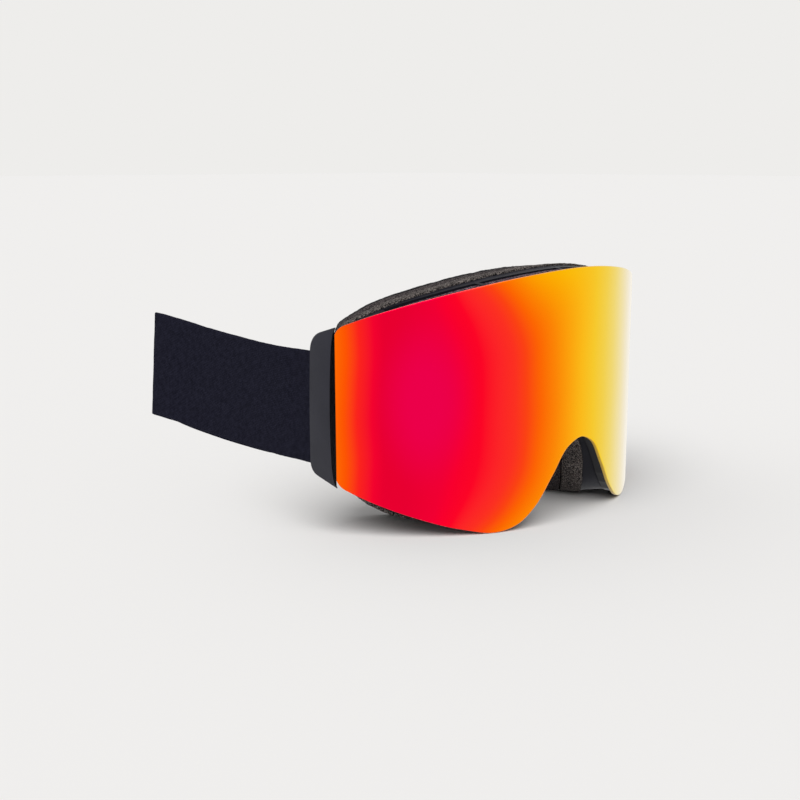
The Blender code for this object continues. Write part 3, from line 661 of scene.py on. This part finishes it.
def webbing_look():
    """Elastic webbing: rows of yarn across the width, crossed by finer rows along it."""
    look = Look("webbing", linear(20, 20, 30), 0.9, 0.0, Specular_IOR_Level=0.04)
    weave = look.add("ShaderNodeAttribute", attribute_name="weave").outputs["Vector"]
    links = {
        "Vector": weave, "Scale": 1.0, "Brick Width": 1.5, "Row Height": 0.72,
        "Mortar Size": 0.13, "Mortar Smooth": 1.0,
        "Color1": (1.0, 1.0, 1.0, 1.0), "Color2": (0.5, 0.5, 0.5, 1.0), "Mortar": (0.0, 0.0, 0.0, 1.0),
    }
    brick = look.add("ShaderNodeTexBrick", links)
    yarn = brick.outputs["Fac"]
    slub = look.noise(1.6, 4.0)
    lint = look.noise(0.45, 2.0)
    tone = look.mix(look.span(slub, 0.3, 0.7), linear(25, 25, 37), linear(37, 37, 51))
    tone = look.mix(look.math("MULTIPLY", yarn, 0.55), tone, linear(8, 8, 14))
    speck = look.span(lint, 0.74, 0.80)
    look.color(look.mix(look.math("MULTIPLY", speck, 0.5), tone, linear(80, 80, 92)))
    look.bump(look.math("SUBTRACT", 1.0, yarn), 0.09)
    look.bump(lint, 0.05)
    return look.material


def thread_look():
    look = Look("thread", linear(44, 44, 56), 0.7, 0.0, Specular_IOR_Level=0.1)
    twist = look.noise(0.35, 2.0)
    look.color(look.mix(twist, linear(30, 30, 40), linear(66, 66, 80)))
    look.bump(twist, 0.05)
    return look.material


def silicone_look():
    look = Look("silicone", linear(52, 52, 58), 0.42, 0.0, Coat_Weight=0.15)
    haze = look.noise(2.0, 3.0)
    look.color(look.mix(haze, linear(40, 40, 46), linear(66, 66, 73)))
    look.roughness(haze, 0.34, 0.52)
    look.bump(look.noise(1.1), 0.04)
    return look.material


def metal_look(name, color, stretch):
    """Bright metal with fine lines drawn along one axis and a few dull spots."""
    look = Look(name, color, 0.3, 1.0)
    mapped = look.add("ShaderNodeMapping", {"Vector": look.place(), "Scale": stretch}).outputs[0]
    lines = look.noise(0.35, 3.0, mapped)
    look.color(look.mix(lines, tuple(value * 0.7 for value in color), color))
    look.roughness(look.noise(3.0, 4.0), 0.22, 0.42)
    look.bump(lines, 0.01)
    return look.material


LOOKS = {
    "mirror": mirror_look(),
    "lens_edge": lens_edge_look(),
    "lens_back": lens_back_look(),
    "pane": pane_look(),
    "frame": plastic_look("frame_rubber", linear(17, 17, 26), 0.5, 0.5, 0.02),
    "carrier": plastic_look("carrier_plastic", linear(18, 17, 21), 0.42, 0.4, 0.012),
    "outrigger": plastic_look("outrigger_plastic", linear(44, 44, 52), 0.5, 0.38, 0.016, 0.10),
    "slider": plastic_look("slider_plastic", linear(26, 26, 30), 0.38, 0.4, 0.012, gloss=0.25),
    "foam": foam_look("face_foam", linear(30, 27, 28), linear(140, 132, 128), 0.7, 0.22),
    "foam_dark": foam_look("comfort_foam", linear(22, 19, 21), linear(108, 100, 100), 0.6, 0.18),
    "vent_foam": foam_look("vent_foam", linear(26, 20, 26), linear(150, 128, 140), 0.8, 0.3),
    "gasket": foam_look("gasket_foam", linear(16, 16, 18), linear(44, 44, 46), 0.5, 0.15),
    "fleece": fleece_look(),
    "webbing": webbing_look(),
    "thread": thread_look(),
    "silicone": silicone_look(),
    "steel": metal_look("black_steel", (0.05, 0.05, 0.055), (1.0, 1.0, 0.05)),
    "magnet": metal_look("magnet_nickel", (0.62, 0.61, 0.60), (1.0, 1.0, 1.0)),
}


# ---------------------------------------------------------------- lens unit


LENS_FRONT_ROUND = ((1.3, 0.0), (0.45, 0.0), (0.22, 0.05), (0.07, 0.18), (0.0, 0.42))
FILL_PITCH = 2.6
LENS_WELD = 2e-6  # metres
MIRROR_STRIPS = 3  # the front strips of the rounded rim that carry the coating
BACK_STRIPS = 2
MIRROR, EDGE, BACK = range(3)  # the lens's material slots


def inside_mask(points, loop):
    """Which points lie inside a closed loop, by counting crossings."""
    inside = np.zeros(len(points), bool)
    for start, end in zip(loop, np.roll(loop, -1, axis=0)):
        crosses = (start[1] > points[:, 1]) != (end[1] > points[:, 1])
        rise = end[1] - start[1]
        if abs(rise) < 1e-12:
            continue
        place = start[0] + (points[:, 1] - start[1]) * (end[0] - start[0]) / rise
        inside ^= crosses & (points[:, 0] < place)
    return inside


def filled_outline(loop):
    """A triangulated sheet inside a flat loop, with an even grid of points within."""
    low = loop.min(axis=0)
    high = loop.max(axis=0)
    columns = np.arange(low[0], high[0], FILL_PITCH)
    rows = np.arange(low[1], high[1], FILL_PITCH)
    grid = np.array([(x, z) for x in columns for z in rows])
    grid = grid[inside_mask(grid, loop)]
    nearest = np.array([np.min(np.hypot(*(loop - point).T)) for point in grid])
    grid = grid[nearest > 0.5 * FILL_PITCH]
    points = [Vector(p) for p in np.concatenate([loop, grid])]
    result = geometry.delaunay_2d_cdt(points, [], [list(range(len(loop)))], 1, 1e-5)
    return np.array([tuple(p) for p in result[0]]), [tuple(face) for face in result[2]]


def make_lens_shell():
    """The outer lens: a mirror front, a rounded polycarbonate edge and a smoky back."""
    back_round = [(inset, OUTER_THICKNESS - depth) for inset, depth in LENS_FRONT_ROUND[::-1]]
    profile = [*LENS_FRONT_ROUND, *back_round]
    rails = np.stack([FINE.rail(inset, depth) for inset, depth in profile], axis=1)
    stations, count, _ = rails.shape
    points = rails.reshape(-1, 3).tolist()
    faces = []
    kinds = []
    for i in range(stations):
        here = i * count
        there = (i + 1) % stations * count
        for j in range(count - 1):
            faces.append((here + j, here + j + 1, there + j + 1, there + j))
            kinds.append(MIRROR if j < MIRROR_STRIPS else BACK if j > count - 2 - BACK_STRIPS else EDGE)
    flat, sheet = filled_outline(FINE.inset(LENS_FRONT_ROUND[0][0]))
    for kind, depth in ((MIRROR, 0.0), (BACK, OUTER_THICKNESS)):
        start = len(points)
        points.extend(on_lens(flat, depth).tolist())
        faces.extend(tuple(start + i for i in face) for face in sheet)
        kinds.extend([kind] * len(sheet))
    mesh = new_mesh("mirror_lens", points, faces)
    mesh.polygons.foreach_set("material_index", kinds)
    finish_mesh(mesh, LENS_WELD)
    lens = link_object("mirror_lens", mesh, *[LOOKS[key] for key in ("mirror", "lens_edge", "lens_back")])
    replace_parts(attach(lens, "lens"), "outer_lens")


GASKET_RADIUS = 0.5
GASKET_PITCH = 0.8
GASKET_RELIEF = ((1.6, 0.08),)


def make_gasket():
    near, far = GASKET_INSETS
    back = CARRIER_BACK - INNER_THICKNESS - GAP
    rails = [
        FINE.rail(near, CARRIER_FRONT), FINE.rail(far, CARRIER_FRONT),
        FINE.rail(far, back), FINE.rail(near, back),
    ]
    rails = filled_rails(rounded_rails(rails, [GASKET_RADIUS] * len(rails), 3), GASKET_PITCH)
    ring = make_ring("spacer_gasket", rails, LOOKS["gasket"], GASKET_RELIEF)
    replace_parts(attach(ring, "lens"), "lens_gasket")


# ---------------------------------------------------------------- frame and foam


def make_stretch(rails, low, high, upper):
    """A body along the upper or lower edge, from distance low to high round the lens."""
    outline = FINE.outline
    middle = 0.5 * (TOP_EDGE[-1][1] + BOTTOM_EDGE[0][1])
    same_edge = np.flatnonzero((outline[:, 1] > middle) == upper)
    order = same_edge[np.argsort(outline[same_edge, 0])]
    places = outline[order, 0]
    inside = places[(places > low + GAP) & (places < high - GAP)]
    stacked = np.stack(rails, axis=1)[order]
    sections = []
    for place in (low, *inside, high):
        after = int(np.searchsorted(places, place))
        share = (place - places[after - 1]) / (places[after] - places[after - 1])
        sections.append((1 - share) * stacked[after - 1] + share * stacked[after])
    return loft(sections)


def vent_rails(insets, shares, radius, steps):
    """The four rounded corners of a section between two insets and two shares of the frame."""
    near, far = insets
    start, end = shares
    corners = ((near, start), (far, start), (far, end), (near, end))
    rails = [FINE.rail(inset, SEAT_BACK, 0.0, share) for inset, share in corners]
    return rounded_rails(rails, [radius] * len(rails), steps)


def mirrored_spans(spans):
    return tuple((-high, -low) for low, high in spans)


def vent_rows():
    return (
        ("top", (*mirrored_spans(TOP_VENTS), *TOP_VENTS), True),
        ("lower_left", LOWER_VENTS, False),
        ("lower_right", mirrored_spans(LOWER_VENTS), False),
    )


def apply_modifiers(obj):
    """Keeps the shape that the modifiers give and drops the modifiers."""
    evaluated = obj.evaluated_get(bpy.context.evaluated_depsgraph_get())
    mesh = bpy.data.meshes.new_from_object(evaluated)
    obj.modifiers.clear()
    old = obj.data
    obj.data = mesh
    bpy.data.meshes.remove(old)


FRAME_RADII = (0.5, 0.5, 0.5, 1.2, 0.8, 0.6, 0.6, 0.7, 0.7)  # one for each corner of the section
VENT_RADIUS = 1.2
FRAME_SHARP_DEGREES = 38.0


def make_frame_shell():
    near, far = SEAT_INSETS
    outer, inner = FLANGE_INSETS
    rails = [
        FINE.rail(near, SEAT_FRONT), FINE.rail(far, SEAT_FRONT), FINE.rail(far, SEAT_BACK),
        FINE.rail(near + WALL, SEAT_BACK),
        FINE.rail(outer + WALL + FLANGE_FILLET, back=-WALL, share=1.0),
        FINE.rail(inner, back=-WALL, share=1.0), FINE.rail(inner, share=1.0),
        FINE.rail(outer, share=1.0), FINE.rail(outer, back=-WALL, share=1.0),
    ]
    shell = make_ring("face_frame_shell", rounded_rails(rails, FRAME_RADII, 4), LOOKS["frame"])
    window = vent_rails(VENT_INSETS, VENT_SHARES, VENT_RADIUS, 3)
    points = []
    faces = []
    for _, spans, upper in vent_rows():
        for low, high in spans:
            add_shape(points, faces, *make_stretch(window, low, high, upper))
    cutter = make_mesh("cutter", points, faces, LOOKS["frame"])
    cut = shell.modifiers.new("vents", "BOOLEAN")
    cut.operation = "DIFFERENCE"
    cut.object = cutter
    apply_modifiers(shell)
    bpy.data.objects.remove(cutter)
    shell.data.shade_smooth()
    shell.data.set_sharp_from_angle(angle=math.radians(FRAME_SHARP_DEGREES))
    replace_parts(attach(shell, "frame"), "face_frame")


EAR_ROOT = 4.6  # how far the root lies inside the pin
EAR_ROOT_HALF = 1.6
EAR_STEPS = 17
EAR_CHAMFER = 0.25


def ear_plan(sign):
    """The plan of a hinge ear: a round end about the pin and a root that meets the frame."""
    x, y = HINGE
    root = x - EAR_ROOT
    outer = [(root, y - EAR_ROOT_HALF)]
    for turn in np.linspace(-0.5 * math.pi, 0.5 * math.pi, EAR_STEPS):
        outer.append((x + BARREL_RADIUS * math.cos(turn), y + BARREL_RADIUS * math.sin(turn)))
    outer.append((root, y + EAR_ROOT_HALF))
    return np.array([(sign * px, py) for px, py in outer])


def make_ears():
    for side, sign in SIDES.items():
        points = []
        faces = []
        plan = ear_plan(sign)
        inward = plan.mean(axis=0) - plan
        inward /= np.linalg.norm(inward, axis=1)[:, None]
        cut = EAR_CHAMFER
        for low, high in EAR_SPANS:
            sections = []
            for z, pull in ((low, cut), (low + cut, 0.0), (high - cut, 0.0), (high, cut)):
                sections.append([(*place, z) for place in plan + inward * pull])
            add_shape(points, faces, *loft(sections))
        ears = make_mesh(f"{side}_hinge_ears", points, faces, LOOKS["frame"])
        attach(ears, "frame")


PLATE_COVER = (  # (back, height) of the skin's corners, up its front edge and down its rear
    (48.4, 19.0), (50.1, 21.0), (51.3, 26.0), (51.9, 36.0), (52.2, 48.0), (52.0, 60.0), (51.2, 73.0),
    (50.2, 78.4), (48.8, 81.2), (63.4, 76.8), (64.3, 48.0), (64.0, 23.2),
)
COVER_RADII = (0.6, 2.0, 5.0, 5.0, 5.0, 5.0, 5.0, 2.0, 0.6, 6.5, 60.0, 4.5)
COVER_FACE = 88.8
COVER_LEVELS = ((0.0, 0.18), (0.07, 0.05), (0.16, 0.0), (0.42, 0.0))  # (depth, pull inwards)
COVER_STEPS = 10
COVER_SHARP_DEGREES = 50.0


def make_plate_covers():
    """The outriggers' outer skins, whose front edges follow the lens."""
    corners = [np.array([corner]) for corner in PLATE_COVER]
    plan = np.concatenate(rounded_rails(corners, COVER_RADII, COVER_STEPS))
    ahead = np.roll(plan, -1, axis=0) - np.roll(plan, 1, axis=0)
    inward = np.stack([ahead[:, 1], -ahead[:, 0]], axis=1)
    inward /= np.linalg.norm(inward, axis=1)[:, None]
    if np.sum((plan.mean(axis=0) - plan) * inward) < 0:
        inward = -inward
    for side, sign in SIDES.items():
        sections = []
        for depth, pull in COVER_LEVELS:
            sections.append([(sign * (COVER_FACE - depth), y, z) for y, z in plan + inward * pull])
        points, faces = loft(sections)
        name = f"{side}_outrigger_skin"
        cover = make_mesh(name, points, faces, LOOKS["outrigger"], COVER_SHARP_DEGREES)
        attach(cover, f"{side}_outrigger")


FOAM_PITCH = 1.0
FOAM_LAYERS = (  # piece, node, slot, front and back, look, relief, corner radius
    ("foam_base_layer", "face_foam_base", "face_foam", BASE_FOAM, "foam", ((1.1, 0.16), (7.0, 0.20)), 1.1),
    ("foam_comfort_layer", "face_foam_comfort", "face_foam_dark", COMFORT_FOAM, "foam_dark",
     ((1.0, 0.16), (7.0, 0.20)), 0.9),
    ("fleece_layer", "face_fleece", "fleece", FLEECE, "fleece", ((0.9, 0.14), (4.0, 0.16)), 0.7),
)


def make_foams():
    """The face foam's three layers, each with rounded edges and an open-cell surface."""
    outer, inner = FLANGE_INSETS
    for name, node, slot, (front, back), look, relief, radius in FOAM_LAYERS:
        middle = 0.5 * (front + back)
        rails = [
            FOAM.rail(outer, back=front, share=1.0), FOAM.rail(inner, back=front, share=1.0),
            FOAM.rail(inner, back=back, share=1.0), FOAM.rail(outer, back=back, share=1.0),
            FOAM.rail(outer - FOAM_BULGE, back=middle, share=1.0),
        ]
        if look == "foam":
            lip_outer, lip_inner, lip_front = FOAM_LIP
            rails[0] = FOAM.rail(lip_inner, back=front, share=1.0)
            rails.append(FOAM.rail(lip_outer, back=lip_front, share=1.0))
            rails.append(FOAM.rail(lip_inner, back=lip_front, share=1.0))
        rails = filled_rails(rounded_rails(rails, [radius] * len(rails), 3), FOAM_PITCH)
        ring = make_ring(name, rails, LOOKS[look], relief)
        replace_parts(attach(ring, "frame"), node)


STRIP_PITCH = 0.9
PAD_PITCH = 0.7


def make_vent_foams():
    """Filter foam under each row of vents, with a pad that fills every window."""
    strip_rails = filled_rails(vent_rails(VENT_FOAM_INSETS, VENT_FOAM_SHARES, 0.4, 2), STRIP_PITCH)
    pad_rails = filled_rails(vent_rails(VENT_PAD_INSETS, VENT_PAD_SHARES, 0.5, 2), PAD_PITCH)
    for name, spans, upper in vent_rows():
        ends = [end for span in spans for end in span]
        low = min(ends) - VENT_FOAM_OVERRUN
        high = max(ends) + VENT_FOAM_OVERRUN
        points, faces = make_stretch(strip_rails, low, high, upper)
        strip = make_mesh(f"{name}_filter", points, faces, LOOKS["vent_foam"])
        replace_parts(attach(strip, "frame"), f"{name}_vent_foam")
        for number, (low, high) in enumerate(spans, start=1):
            points, faces = make_stretch(pad_rails, low + VENT_PAD_MARGIN, high - VENT_PAD_MARGIN, upper)
            pad = make_mesh(f"{name}_filter_pad_{number}", points, faces, LOOKS["vent_foam"])
            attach(pad, "frame")


# ---------------------------------------------------------------- strap


PROFILE_COLUMNS = 40
STRAP_PITCH = 1.1
STRAP_ROUGHNESS = 0.07
RETURN_ROUGHNESS = 0.05
STRAP_SHARP_DEGREES = 50.0
WEBBING_WANDER = ((1.4, 1.0), (9.0, 1.5))  # (size, weight) of the surface's waves
SELVEDGE_SHARE = 0.485  # points further than this share of the width from its middle are selvedge


def ribbon_profile():
    """The webbing's section as (across, up): two faces joined by round selvedges."""
    width = STRAP_WIDTH
    half = STRAP_THICKNESS / 2
    face = np.linspace(half, width - half, PROFILE_COLUMNS)
    turn = np.linspace(0.0, math.pi, 7)[1:-1]
    outer = [(half, up) for up in face]
    top = [(half * math.cos(a), width - half + half * math.sin(a)) for a in turn]
    inner = [(-half, up) for up in face[::-1]]
    low = [(-half * math.cos(a), half - half * math.sin(a)) for a in turn]
    return np.array([*outer, *top, *inner, *low])


def fold_lean(route, heights):
    """How far the strap's lower edge reaches out and back at its fold, and its top doesn't."""
    weight = smooth_step(route[:, 1], *FOLD_DEPTHS) * smooth_step(-route[:, 0], *FOLD_WIDTHS)
    low = 1 - heights / STRAP_WIDTH
    return weight[:, None, None] * low[None, :, None] * np.array(FOLD_LEAN)


def sweep(name, route, profile, material, roughness=0.0):
    """A section swept along a route of (x, y, base height), with its weave coordinates."""
    tangents = np.gradient(route[:, :2], axis=0)
    tangents /= np.linalg.norm(tangents, axis=1)[:, None]
    across = np.stack([tangents[:, 1], -tangents[:, 0]], axis=1)
    sections = np.zeros((len(route), len(profile), 3))
    sections[:, :, :2] = route[:, None, :2] + across[:, None, :] * profile[None, :, 0, None]
    sections[:, :, 2] = route[:, None, 2] + profile[None, :, 1]
    sections[:, :, :2] += fold_lean(route, profile[:, 1])
    if roughness:
        wander = np.zeros(len(route) * len(profile))
        for size, share in WEBBING_WANDER:
            wander += [share * noise.noise(Vector(p / size)) for p in sections.reshape(-1, 3)]
        shift = wander.reshape(sections.shape[:2]) * roughness
        sections[:, :, :2] += across[:, None, :] * shift[..., None]
        edge = np.abs(profile[:, 1] - profile[:, 1].mean()) > SELVEDGE_SHARE * np.ptp(profile[:, 1])
        sections[:, edge, 2] += shift[:, edge]
    mesh = new_mesh(name, *loft(sections))
    along = np.repeat(lengths_along(route), len(profile))
    up = np.tile(profile[:, 1], len(route))
    weave = mesh.attributes.new("weave", "FLOAT_VECTOR", "POINT")
    values = np.stack([along, up, np.zeros_like(up)], axis=1)
    weave.data.foreach_set("vector", values.astype(np.float32).ravel())
    finish_mesh(mesh, sharp_degrees=STRAP_SHARP_DEGREES)
    return link_object(name, mesh, material)


LOOP = (  # the webbing's middle line round the strap bar, as (outwards, back) from the bar
    (-0.7, 5.4), (-0.85, 3.6), (-1.7, 1.3), (-1.95, 0.0), (-1.4, -1.36), (0.0, -1.95),
    (1.4, -1.36), (1.95, 0.0), (1.7, 1.3), (0.85, 3.6), (0.62, 6.5),
)


def loop_points(side, base):
    """The webbing's turn round the strap bar, from its sewn inner tail to its outer side."""
    sign = SIDES[side]
    return [(sign * (BAR[0] + out), BAR[1] + back, base) for out, back in LOOP]


def whole_strap_route():
    """The webbing's middle line: right loop, near run, round the back, left run, left loop."""
    right = loop_points("right", STRAP_HEIGHT_AT_EAR)
    left = loop_points("left", STRAP_HEIGHT_AT_EAR)[::-1]
    run = [(*LEFT_RUN_START, STRAP_HEIGHT_AT_EAR)]
    end = (*LEFT_RUN_END, STRAP_HEIGHT_AT_EAR)
    for share in (0.3, 0.6, 0.9):
        run.append(tuple(np.array(run[0]) * (1 - share) + np.array(end) * share))
    return [*right, STRAP_LEAD, *STRAP_ROUTE, *run, *left]


def make_strap():
    knots = whole_strap_route()
    curve = respaced(curve_through(knots, 12), STRAP_PITCH)
    profile = ribbon_profile()
    middle = int(np.argmin(np.abs(curve[:, 0]) + np.where(curve[:, 1] > 100, 0.0, 1e3)))
    halves = (
        ("strap_right_half", curve[: middle + 1], "right", ("strap", "right_strap_end")),
        ("strap_left_half", curve[middle:], "left", ("left_strap_end",)),
    )
    for name, route, side, nodes in halves:
        piece = sweep(name, route, profile, LOOKS["webbing"], STRAP_ROUGHNESS)
        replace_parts(piece, *nodes)
        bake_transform(piece)
    return curve


BEAD_RISE = 0.75
BEAD_HALF_WIDTH = 0.95
BEAD_SINK = 0.02
BEAD_END_MARGIN = 6.0


def make_grips(curve):
    """Silicone beads printed on the head side of the strap."""
    along = lengths_along(curve)
    first = along > GRIP_SPAN[0] * along[-1] + BEAD_END_MARGIN
    last = along < GRIP_SPAN[1] * along[-1] - BEAD_END_MARGIN
    turn = np.linspace(0.0, math.pi, 9)
    out = STRAP_THICKNESS / 2 - BEAD_SINK + BEAD_RISE * np.sin(turn)
    for number, height in enumerate(GRIP_HEIGHTS, start=1):
        bead = np.stack([out, height - BEAD_HALF_WIDTH * np.cos(turn)], axis=1)
        piece = sweep(f"silicone_bead_{number}", curve[first & last], bead, LOOKS["silicone"])
        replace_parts(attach(piece, "frame"), f"strap_grip_{number}")


def along_left_run(distance, outward):
    start = np.array(LEFT_RUN_START)
    direction = np.array(LEFT_RUN_END) - start
    direction = direction / np.linalg.norm(direction)
    normal = np.array((-direction[1], direction[0]))
    return start + direction * distance + normal * outward


RETURN_LEAD = 3.0  # how far the doubled layer reaches back over the slider's bar
RETURN_DIP = (0.5, 1.6)  # height and length of the bulge over the bar
RETURN_STATIONS = 40
STITCH_ROWS = (2.2, 4.4)  # distances from the sewn end
STITCH_RISE = 0.06


def make_return():
    """The doubled webbing layer on the slider, with a sewn end."""
    run = math.dist(LEFT_RUN_START, LEFT_RUN_END)
    layer = RETURN_GAP + STRAP_THICKNESS
    start = SLIDER_PLACE + 0.5 * SLIDER_LENGTH + GAP
    end = run - SLIDER_TRAVEL - RETURN_END
    route = []
    bulge, reach = RETURN_DIP
    for distance in np.linspace(start - RETURN_LEAD, end, RETURN_STATIONS):
        dip = bulge * math.exp(-((distance - start) / reach) ** 2)
        route.append((*along_left_run(distance, layer + dip), STRAP_HEIGHT_AT_EAR))
    look = LOOKS["webbing"]
    piece = sweep("strap_doubled_layer", np.array(route), ribbon_profile(), look, RETURN_ROUGHNESS)
    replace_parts(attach(piece, "slider"), "strap_return")
    stitch_rows([end - back for back in STITCH_ROWS], layer + STRAP_THICKNESS / 2 + STITCH_RISE)


STITCH_MARGINS = (1.6, 2.4)  # below the first stitch and above the last one
STITCH_PITCH = 2.1
STITCH_LENGTH = 1.5
STITCH_RADIUS = 0.22
STITCH_SINK = 0.12
STITCH_TIP = 0.06


def stitch(distance, outward, base):
    """One stitch, thick at its middle and sunk in the webbing at its ends."""
    sections = []
    for share in np.linspace(0.0, 1.0, 7):
        swell = math.sin(math.pi * min(max(share, STITCH_TIP), 1 - STITCH_TIP))
        radius = STITCH_RADIUS * math.sqrt(swell)
        x, y = along_left_run(distance, outward - STITCH_SINK * (1 - swell))
        z = STRAP_HEIGHT_AT_EAR + base + STITCH_LENGTH * share
        turns = np.linspace(0, 2 * math.pi, 8, endpoint=False)
        sections.append([(x + radius * math.cos(a), y + radius * math.sin(a), z) for a in turns])
    return loft(sections)


def stitch_rows(distances, outward):
    """Rows of thread across the doubled layer's sewn end."""
    points = []
    faces = []
    low, high = STITCH_MARGINS
    for distance in distances:
        for base in np.arange(low, STRAP_WIDTH - high, STITCH_PITCH):
            add_shape(points, faces, *stitch(distance, outward, base))
    piece = make_mesh("sewn_end_thread", points, faces, LOOKS["thread"])
    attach(piece, "slider")


# ---------------------------------------------------------------- nodes kept from the frame


def dress_node(name, look, bevel=0.0):
    """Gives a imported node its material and, where it has hard edges, a small round on them."""
    node = frame["nodes"][name]
    node.data.materials.clear()
    node.data.materials.append(LOOKS[look])
    if bevel:
        weld = node.modifiers.new("weld", "WELD")
        weld.merge_threshold = 1e-6
        edge = node.modifiers.new("edge", "BEVEL")
        edge.width = bevel * MM
        edge.segments = 3
        edge.limit_method = "ANGLE"
        edge.angle_limit = math.radians(40)
        edge.harden_normals = True


def dress_nodes():
    dress_node("inner_lens", "pane")
    dress_node("lens_carrier", "carrier")
    dress_node("slider", "slider", 0.5)
    for number in range(1, 7):
        dress_node(f"lens_magnet_{number}", "magnet", 0.2)
        dress_node(f"frame_magnet_{number}", "magnet", 0.2)
    for side in SIDES:
        dress_node(f"{side}_outrigger", "outrigger")
        dress_node(f"{side}_hinge_pin", "steel")
        dress_node(f"{side}_strap_bar", "steel")


# ---------------------------------------------------------------- stage, light and camera


CAMERA_AZIMUTH = math.radians(-44.693)
CAMERA_ELEVATION = math.radians(10.791)
CAMERA_DISTANCE = 0.499
CAMERA_AIM = (-0.073149, -0.001685)  # to the right and up from the middle of the lens height
FOCAL = 56.1
SENSOR = 36.0


def make_camera():
    a, e = CAMERA_AZIMUTH, CAMERA_ELEVATION
    back = Vector((math.sin(a) * math.cos(e), -math.cos(a) * math.cos(e), math.sin(e)))
    right = Vector((math.cos(a), math.sin(a), 0.0))
    up = back.cross(right)
    middle = Vector((0.0, -ORIGIN[1] * MM, 0.05))
    target = middle + right * CAMERA_AIM[0] + up * CAMERA_AIM[1]
    data = bpy.data.cameras.new("camera")
    data.lens = FOCAL
    data.sensor_width = SENSOR
    data.clip_start = 0.01
    camera = link_object("camera", data)
    camera.location = target + back * CAMERA_DISTANCE
    camera.rotation_mode = "QUATERNION"
    camera.rotation_quaternion = (-back).to_track_quat("-Z", "Y")
    bpy.context.scene.camera = camera


BACKDROP = (238, 237, 235)  # the floor and the space behind it, in display values
FLOOR_HALF = 12.0
FLOOR_LEVEL = -0.0002
STRAP_PIECES = ("strap_right_half", "strap_left_half", "strap_doubled", "silicone_bead", "slider")
OUTRIGGER_PIECES = ("right_outrigger", "left_outrigger")
SKY_STRENGTH = 0.47
SUN_STRENGTH = 1.95
SUN_SPREAD = math.radians(60)
SUN_FROM = (-0.42, -0.43, 1.0)


def make_stage():
    """A pale floor that reaches far past the object on every side."""
    look = Look("floor", (0.87, 0.862, 0.853), 0.9)
    look.shader.inputs["Specular IOR Level"].default_value = 0.0
    mesh = bpy.data.meshes.new("floor")
    half = FLOOR_HALF
    corners = [(-half, -half, 0), (half, -half, 0), (half, half, 0), (-half, half, 0)]
    mesh.from_pydata(corners, [], [(0, 1, 2, 3)])
    floor = link_object("floor", mesh, look.material)
    floor.location.z = FLOOR_LEVEL
    floor.visible_glossy = False


def spare_surroundings():
    """Keeps the hanging strap off the floor's shading and the outriggers out of the mirror."""
    for piece in bpy.data.objects:
        if piece.name.startswith(STRAP_PIECES):
            piece.visible_shadow = False
            piece.visible_diffuse = False
        if piece.name.startswith(OUTRIGGER_PIECES):
            piece.visible_glossy = False


def make_light():
    """An even white tent with one broad soft lamp above, and the backdrop's own tone behind."""
    world = bpy.data.worlds.new("studio")
    world.use_nodes = True
    bpy.context.scene.world = world
    tree = world.node_tree
    tree.nodes.clear()
    add = tree.nodes.new
    link = tree.links.new
    output = add("ShaderNodeOutputWorld")
    path = add("ShaderNodeLightPath")
    tent = add("ShaderNodeBackground")
    tent.inputs["Color"].default_value = (1.0, 0.995, 0.99, 1.0)
    strength = add("ShaderNodeMix")
    strength.data_type = "FLOAT"
    strength.inputs[2].default_value = SKY_STRENGTH
    strength.inputs[3].default_value = 1.0
    link(path.outputs["Is Glossy Ray"], strength.inputs[0])
    link(strength.outputs[0], tent.inputs["Strength"])
    backdrop = add("ShaderNodeBackground")
    backdrop.inputs["Color"].default_value = (*linear(*BACKDROP), 1.0)
    chosen = add("ShaderNodeMixShader")
    link(path.outputs["Is Camera Ray"], chosen.inputs[0])
    link(tent.outputs[0], chosen.inputs[1])
    link(backdrop.outputs[0], chosen.inputs[2])
    link(chosen.outputs[0], output.inputs["Surface"])
    data = bpy.data.lights.new("overhead", "SUN")
    data.energy = SUN_STRENGTH
    data.angle = SUN_SPREAD
    lamp = link_object("overhead", data)
    lamp.rotation_mode = "QUATERNION"
    lamp.rotation_quaternion = (-Vector(SUN_FROM)).to_track_quat("-Z", "Y")


def main():
    make_camera()
    make_light()
    make_stage()
    make_lens_shell()
    make_gasket()
    make_frame_shell()
    make_ears()
    make_plate_covers()
    make_foams()
    make_vent_foams()
    make_grips(make_strap())
    make_return()
    dress_nodes()
    spare_surroundings()
    bpy.context.scene.view_settings.view_transform = "Standard"
    bpy.context.scene.cycles.caustics_reflective = False


main()
